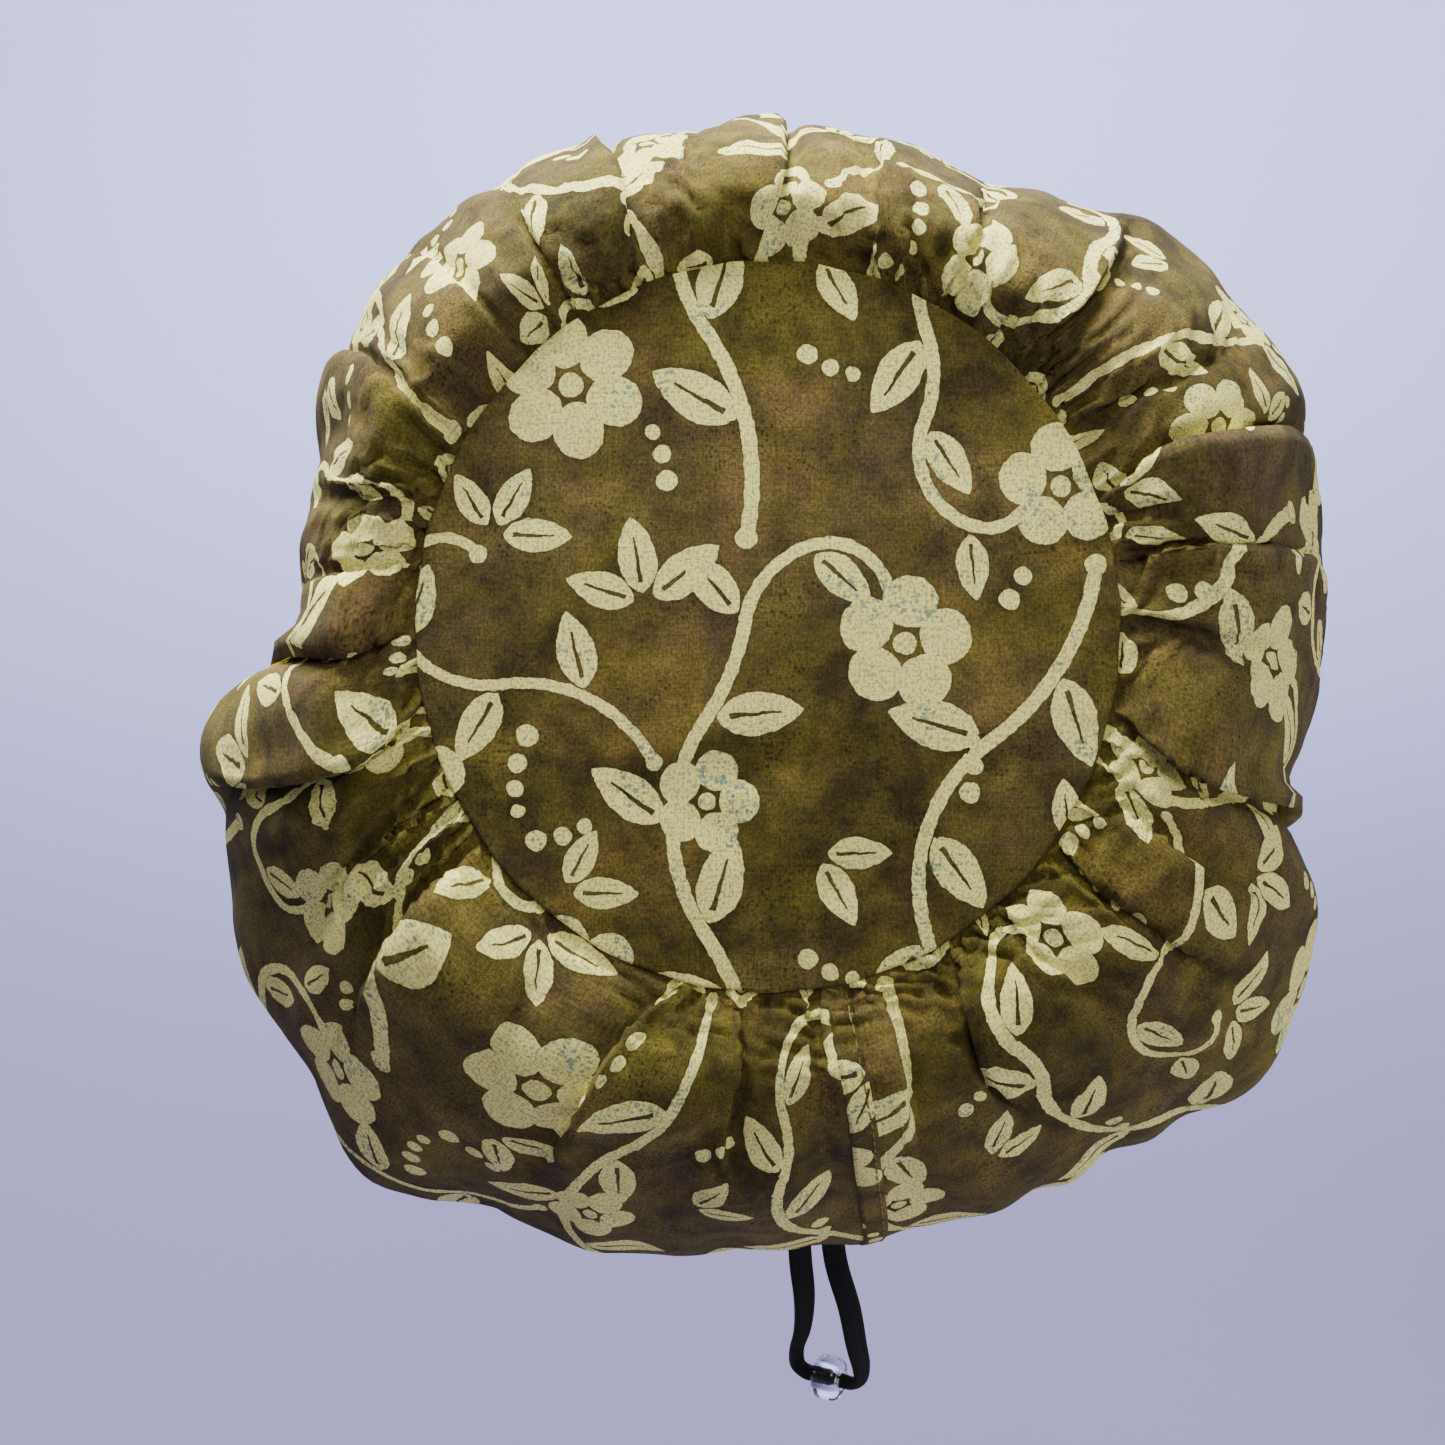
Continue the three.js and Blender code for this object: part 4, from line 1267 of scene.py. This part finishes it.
def print_depth(r, flat):
    """How deep, in mm, a point lies inside the nearer of its face's two marks, with a wavering edge."""
    ragged = r.node("ShaderNodeTexNoise", {"Vector": flat, "Scale": 0.4, "Detail": 2.0}).outputs["Color"]
    wobble = r.vector("MULTIPLY", r.vector("SUBTRACT", ragged, (0.5, 0.5, 0.5)), (1.0, 1.0, 0.0))
    depths = []
    for letter in "ab":
        place, shape = (r.node("ShaderNodeAttribute", attribute_name=name + letter).outputs["Vector"]
                        for name in ("mark_place_", "mark_shape_"))
        inputs = {"Place": place, "Shape": shape, "Wobble": wobble}
        depths.append(placed(r, printed_mark, inputs)["Depth"])
    return r.math("MAXIMUM", *depths)


def settled_spots(r, flat, spot, crowd, chance_value, edge):
    """Spots of chance size that crowd together here and there, from 0 to 1."""
    distance, cell = r.spots(flat, spot)
    size = r.times(cell[chance_value], crowd)
    return r.between(r.minus(size, distance), *edge)


def dyed_ground(r, flat, depth):
    ground = OLIVE
    for patch, edge, shift, share, colour in CLOUDS:
        inputs = {"Flat": r.vector("ADD", flat, shift), "Patch": patch, "Edge": edge}
        ground = r.blend(r.times(placed(r, dye_cloud, inputs)["Cloud"], share), ground, colour)
    crowd = r.between(r.noise(flat, 0.045, 3.0, 0.6), 0.38, 0.66, 0.0, 0.5)
    speck = settled_spots(r, flat, 0.95, crowd, 0, (-0.1, 0.08))
    ground = r.blend(r.times(speck, SPECK_SHARE), ground, SPECK)
    rim = r.times(r.between(depth, *DYE_RIM), DYE_RIM_SHARE)
    return r.blend(rim, ground, DEEP_OLIVE)


def waxed_cream(r, flat, fade):
    cream = r.blend(r.between(fade, 0.35, 0.7), CREAM, CREAM_SHADE)
    crowd = r.between(r.noise(flat, 0.05, 2.0, 0.5), 0.44, 0.66, 0.0, 0.62)
    fleck = settled_spots(r, flat, 0.9, crowd, 1, (-0.12, 0.1))
    return r.blend(r.times(fleck, FLECK_SHARE), cream, TEAL)


def printed_cotton():
    material, r, shader = new_material("printed_cotton", Sheen_Weight=0.03, Sheen_Roughness=0.5,
                                       Specular_IOR_Level=0.18)
    flat = flat_cloth(r)
    depth = print_depth(r, flat)
    fade = r.noise(flat, 0.09, 4.0, 0.6)
    waxed = r.between(depth, -WAX_EDGE, WAX_EDGE)
    colour = r.blend(waxed, dyed_ground(r, flat, depth), waxed_cream(r, flat, fade))
    threads = placed(r, weave, {"Flat": flat, "Pitch": THREAD_PITCH, "Slub": 0.9})
    grain = r.noise(r.vector("MULTIPLY", flat, (1.5, 1.15, 1.0)), 1.0, 2.0, 0.7)
    shade = r.times(r.math("MAXIMUM", threads["Shade"], 0.4), r.between(grain, 0.3, 0.7, 0.6, 1.38))
    tint = r.node("ShaderNodeCombineColor", {"Red": shade, "Green": shade, "Blue": shade}).outputs[0]
    r.put(shader.inputs["Base Color"], r.blend(1.0, colour, tint, "MULTIPLY"))
    r.put(shader.inputs["Roughness"], r.math("MULTIPLY_ADD", fade, 0.12, 0.80))
    crumple = r.noise(flat, 0.16, 4.0, 0.55, 0.6)
    fine = r.times(threads["Height"], THREAD_HEIGHT)
    raised(r, shader, r.math("MULTIPLY_ADD", crumple, CRUMPLE_HEIGHT, fine))
    return material


cotton = printed_cotton()
for piece in (panel, disc, flap):
    piece.data.materials.append(cotton)
    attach(piece, BODY)
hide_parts("side_puff", "rim_band")
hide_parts("crown_disc")
print("cotton:", len(cotton.node_tree.nodes), "nodes")

# %% [markdown]
# The elastic is braided from dull black yarn, which shows as lengthwise ribs crossed by short slanting
# stitches. The thread is a twisted cotton, with painted light on the ridges of its twist and painted
# shade in its grooves, and some uneven tone of its own. The bead is clear acrylic with faint flow marks
# from its mould.
# %% Elastic, thread and bead
def braided_elastic():
    material, r, shader = new_material("black_elastic", Sheen_Weight=0.04, Specular_IOR_Level=0.25)
    flat = flat_cloth(r)
    threads = placed(r, weave, {"Flat": flat, "Pitch": 0.8, "Slub": 0.8})
    across, along, _ = r.split(flat)
    slant = r.math("PINGPONG", across, 0.53)
    braid = r.math("SINE", r.times(r.math("MULTIPLY_ADD", slant, 1.2, along), 7.0))
    colour = r.blend(r.between(threads["Shade"], 0.7, 1.4), dye(6, 6, 7), dye(20, 20, 22))
    r.put(shader.inputs["Base Color"], colour)
    r.put(shader.inputs["Roughness"], r.between(braid, -1.0, 1.0, 0.58, 0.78))
    raised(r, shader, r.math("MULTIPLY_ADD", braid, 0.05, r.times(threads["Height"], 0.02)))
    return material


def twisted_thread(name, light, dark):
    material, r, shader = new_material(name)
    place = solid_place(r)
    x, y, z = r.split(place)
    ply = r.math("SINE", r.times(r.plus(r.plus(x, y), z), 16.0))
    uneven = r.noise(place, 0.8, 2.0)
    # Painted light and shade: the twist picks between the thread's lit and shaded tones, and the noise adds
    # its own uneven tone
    share = r.math("MULTIPLY_ADD", ply, 0.25, uneven)
    r.put(shader.inputs["Base Color"], r.blend(share, dark, light))
    r.put(shader.inputs["Roughness"], r.between(uneven, 0.3, 0.7, 0.6, 0.8))
    raised(r, shader, r.times(ply, 0.04))
    return material


def clear_acrylic():
    material, r, shader = new_material("clear_bead", Transmission_Weight=1.0, IOR=1.49)
    flow = r.noise(solid_place(r), 0.25, 3.0, 0.5, 0.8)
    r.put(shader.inputs["Base Color"], r.blend(flow, dye(250, 250, 252), dye(238, 238, 246)))
    r.put(shader.inputs["Roughness"], r.between(flow, 0.3, 0.7, 0.01, 0.06))
    raised(r, shader, r.times(flow, 0.12))
    return material


elastic.data.materials.append(braided_elastic())
bead.data.materials.append(clear_acrylic())
seam_thread = twisted_thread("olive_thread", dye(176, 162, 66), dye(112, 98, 34))
dark_thread = twisted_thread("dark_thread", dye(34, 30, 20), dye(16, 14, 10))
print("materials", [m.name for m in bpy.data.materials])

# %% [markdown]
# Stitches repeat at an even pitch along a line on the cloth, which is what Geometry Nodes are for. The
# line is resampled to the pitch, a small rounded stitch is put on each point and turned along the line,
# and the result is made real. The same tree makes the dark knots between the stitches of the back seam.
# %% Stitch tree
def stitch_tree():
    tree, r, given, out = new_group(
        "stitch_row", [("Line", "NodeSocketGeometry", None), ("Pitch", FLOAT, 3.5 * MM),
                       ("Length", FLOAT, 2.6 * MM), ("Thickness", FLOAT, 0.36 * MM),
                       ("Seed", "NodeSocketInt", 3), ("Thread", "NodeSocketMaterial", None)],
        [("Stitches", "NodeSocketGeometry", None)], "GeometryNodeTree")
    curve = r.node("GeometryNodeMeshToCurve", {"Mesh": given["Line"]}).outputs[0]
    even = r.node("GeometryNodeResampleCurve", {"Curve": curve, "Length": given["Pitch"]}, mode="LENGTH")
    ball = r.node("GeometryNodeMeshUVSphere", {"Segments": 8, "Rings": 6, "Radius": 0.5}).outputs[0]
    size = r.node("ShaderNodeCombineXYZ", {"X": given["Length"], "Y": given["Thickness"],
                                           "Z": given["Thickness"]}).outputs[0]
    stitch = r.node("GeometryNodeTransform", {"Geometry": ball, "Scale": size}).outputs[0]
    tangent = r.node("GeometryNodeInputTangent").outputs[0]
    aligned = r.node("FunctionNodeAlignRotationToVector", {"Vector": tangent}, axis="X").outputs[0]
    uneven = r.node("FunctionNodeRandomValue", {"Seed": given["Seed"]}, data_type="FLOAT")
    uneven.inputs[2].default_value = 0.9
    uneven.inputs[3].default_value = 1.08
    rows = r.node("GeometryNodeInstanceOnPoints", {"Points": even.outputs[0], "Instance": stitch,
                                                   "Rotation": aligned, "Scale": uneven.outputs[1]})
    real = r.node("GeometryNodeRealizeInstances", {"Geometry": rows.outputs[0]}).outputs[0]
    smooth = r.node("GeometryNodeSetShadeSmooth", {"Geometry": real}).outputs[0]
    done = r.node("GeometryNodeSetMaterial", {"Geometry": smooth, "Material": given["Thread"]}).outputs[0]
    r.put(out.inputs[0], done)
    return tree


stitch_row = stitch_tree()


def stitched(name, points, closed, pitch, length, thickness, seed, thread):
    """Runs the stitch tree along a line of points, and keeps the result as a plain mesh."""
    count = len(points)
    edges = [(k, (k + 1) % count) for k in range(count if closed else count - 1)]
    line = bpy.data.meshes.new(name + "_line")
    line.from_pydata(points.tolist(), edges, [])
    piece = new_object(name, line)
    modifier = piece.modifiers.new("stitches", "NODES")
    modifier.node_group = stitch_row
    sockets = {item.name: item.identifier for item in stitch_row.interface.items_tree
               if item.item_type == "SOCKET" and item.in_out == "INPUT"}
    for label, value in (("Pitch", pitch * MM), ("Length", length * MM), ("Thickness", thickness * MM),
                         ("Seed", seed), ("Thread", thread)):
        modifier[sockets[label]] = value
    graph = bpy.context.evaluated_depsgraph_get()
    mesh = bpy.data.meshes.new_from_object(piece.evaluated_get(graph))
    piece.modifiers.clear()
    piece.data = mesh
    mesh.name = name
    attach(piece, BODY)
    print(name, len(mesh.polygons), "faces")
    return piece


# %% [markdown]
# Three lines of stitches hold the cap: the top-stitching of the back seam in olive thread, with a dark
# knot between stitches, the row that closes the hem casing, and the few dark stitches that show at the
# lower edge of the back disc.
# %% Stitch lines
STITCH_PROUD = 0.06 * MM
HEM_STITCH_PROUD = 0.15 * MM
DISC_STITCH_INSET = 0.6 * MM
DISC_STITCH_PROUD = 0.1 * MM
# The part of the back seam that half a stitch takes up, so that the knots fall between the stitches
HALF_STITCH = 0.0072
# The disc's edge stitches run between these angles, in degrees
EDGE_START, EDGE_END = 276, 300

beside = [beside_seam(row, np.array([STITCH_INSET]), FLAP_PROUD + STITCH_PROUD)[0]
          for row in range(1, PANEL_ROWS - 1)]
seam_line, knot_line = (smooth_lines(np.array([beside]), np.linspace(start, 1, 300), 600)[0]
                        for start in (0, HALF_STITCH))
hem_row = PANEL_ROWS + 1
hem_line = hemmed_grid[:, hem_row] + grid_normals(hemmed_grid)[:, hem_row] * HEM_STITCH_PROUD
edge_line = disc_ring(DISC_WIDTH / 2 - DISC_STITCH_INSET, DISC_HEIGHT / 2 - DISC_STITCH_INSET,
                      np.radians(np.linspace(EDGE_START, EDGE_END, 60)), DISC_BACK + DISC_STITCH_PROUD)

# Line, whether it closes, then pitch, length and thickness in mm, seed and thread
STITCH_LINES = {
    "seam_stitches": (seam_line, False, 3.5, 2.9, 0.42, 3, seam_thread),
    "seam_knots": (knot_line, False, 3.5, 0.6, 0.5, 5, dark_thread),
    "hem_stitches": (hem_line, True, 3.2, 2.6, 0.4, 8, seam_thread),
    "disc_stitches": (edge_line, False, 4.6, 0.7, 0.4, 9, dark_thread),
}
stitches = [stitched(name, *row) for name, row in STITCH_LINES.items()]

# %% [markdown]
# A pale backdrop curves up behind the cap. It is painted a little darker below and lighter above, a
# painted shade and painted light for how the lamps fall on it. One large soft lamp lights the cap from
# above, weaker ones stand in front and low at the right, and one more lights the backdrop alone.
# %% Backdrop and lights
FLOOR_LEVEL = -0.34
FLOOR_FRONT = -3.0
BEND_START = 1.2
BEND_RADIUS = 0.8
BEND_STEPS = 8
WALL_TOP = 3.0
HALF_WIDTH = 4
# The paper's painted shade below and painted light above, and where along the paper, in metres, one fades
# into the other
PAPER_SHADED_LOW = dye(113, 109, 141)
PAPER_LIT_HIGH = dye(220, 221, 255)
PAPER_SHADE_FADE = (-0.1, 2.45)
WORLD_LIGHT = 0.112
SEEN_WORLD = 0.5


def add_backdrop():
    profile = [(FLOOR_FRONT, FLOOR_LEVEL), (BEND_START, FLOOR_LEVEL)]
    for step in range(1, BEND_STEPS + 1):
        turn = step / BEND_STEPS * math.pi / 2
        profile.append((BEND_START + BEND_RADIUS * math.sin(turn),
                        FLOOR_LEVEL + BEND_RADIUS * (1 - math.cos(turn))))
    profile.append((BEND_START + BEND_RADIUS, WALL_TOP))
    points = [(side * HALF_WIDTH, y, z) for y, z in profile for side in (-1, 1)]
    faces = [(2 * k, 2 * k + 1, 2 * k + 3, 2 * k + 2) for k in range(len(profile) - 1)]
    backdrop = new_object("backdrop", mesh_from("backdrop", points, faces))
    material, r, shader = new_material("backdrop_paper", Roughness=0.9)
    place = r.split(r.node("ShaderNodeTexCoord").outputs["Object"])
    # Painted shade low on the paper and painted light higher up, fading along its height and depth
    share = r.between(r.plus(r.math("ABSOLUTE", place[1]), place[2]), *PAPER_SHADE_FADE)
    r.put(shader.inputs["Base Color"], r.blend(share, PAPER_SHADED_LOW, PAPER_LIT_HIGH))
    backdrop.data.materials.append(material)


def add_lamp(name, place, target, size, watts, colour):
    data = bpy.data.lights.new(name, "AREA")
    data.shape = "RECTANGLE"
    data.size, data.size_y = size
    data.energy = watts
    data.color = colour
    lamp = bpy.data.objects.new(name, data)
    lamp.location = place
    lamp.rotation_euler = (Vector(target) - Vector(place)).to_track_quat("-Z", "Y").to_euler()
    bpy.context.collection.objects.link(lamp)


add_backdrop()
# Where each lamp stands, where it points, its width and height, its watts and its colour
LAMPS = {
    "top_softbox": ((-0.24, 0.08, 1.12), (0, -0.07, 0.08), (0.6, 0.5), 50, (1.0, 0.985, 0.94)),
    "front_softbox": ((0.25, -1.15, 1.1), (0, -0.1, 0.08), (0.8, 0.6), 8.5, (1.0, 0.99, 0.94)),
    "low_softbox": ((1.0, -0.5, -0.18), (0.05, -0.1, 0.0), (0.5, 0.3), 4.2, (1.0, 0.98, 0.92)),
    "backdrop_softbox": ((0.0, 0.75, 1.5), (0, 2.0, 0.6), (2.2, 0.6), 80, (0.69, 0.72, 1.0)),
}
for name, row in LAMPS.items():
    add_lamp(name, *row)
world = bpy.data.worlds.new("world")
world.use_nodes = True
r = Recipe(world.node_tree)
seen = r.node("ShaderNodeLightPath").outputs["Is Camera Ray"]
sky = world.node_tree.nodes["Background"]
sky.inputs["Color"].default_value = (0.84, 0.84, 0.88, 1)
r.put(sky.inputs["Strength"], r.math("MULTIPLY_ADD", seen, SEEN_WORLD - WORLD_LIGHT, WORLD_LIGHT))
bpy.context.scene.world = world
print("lights set")
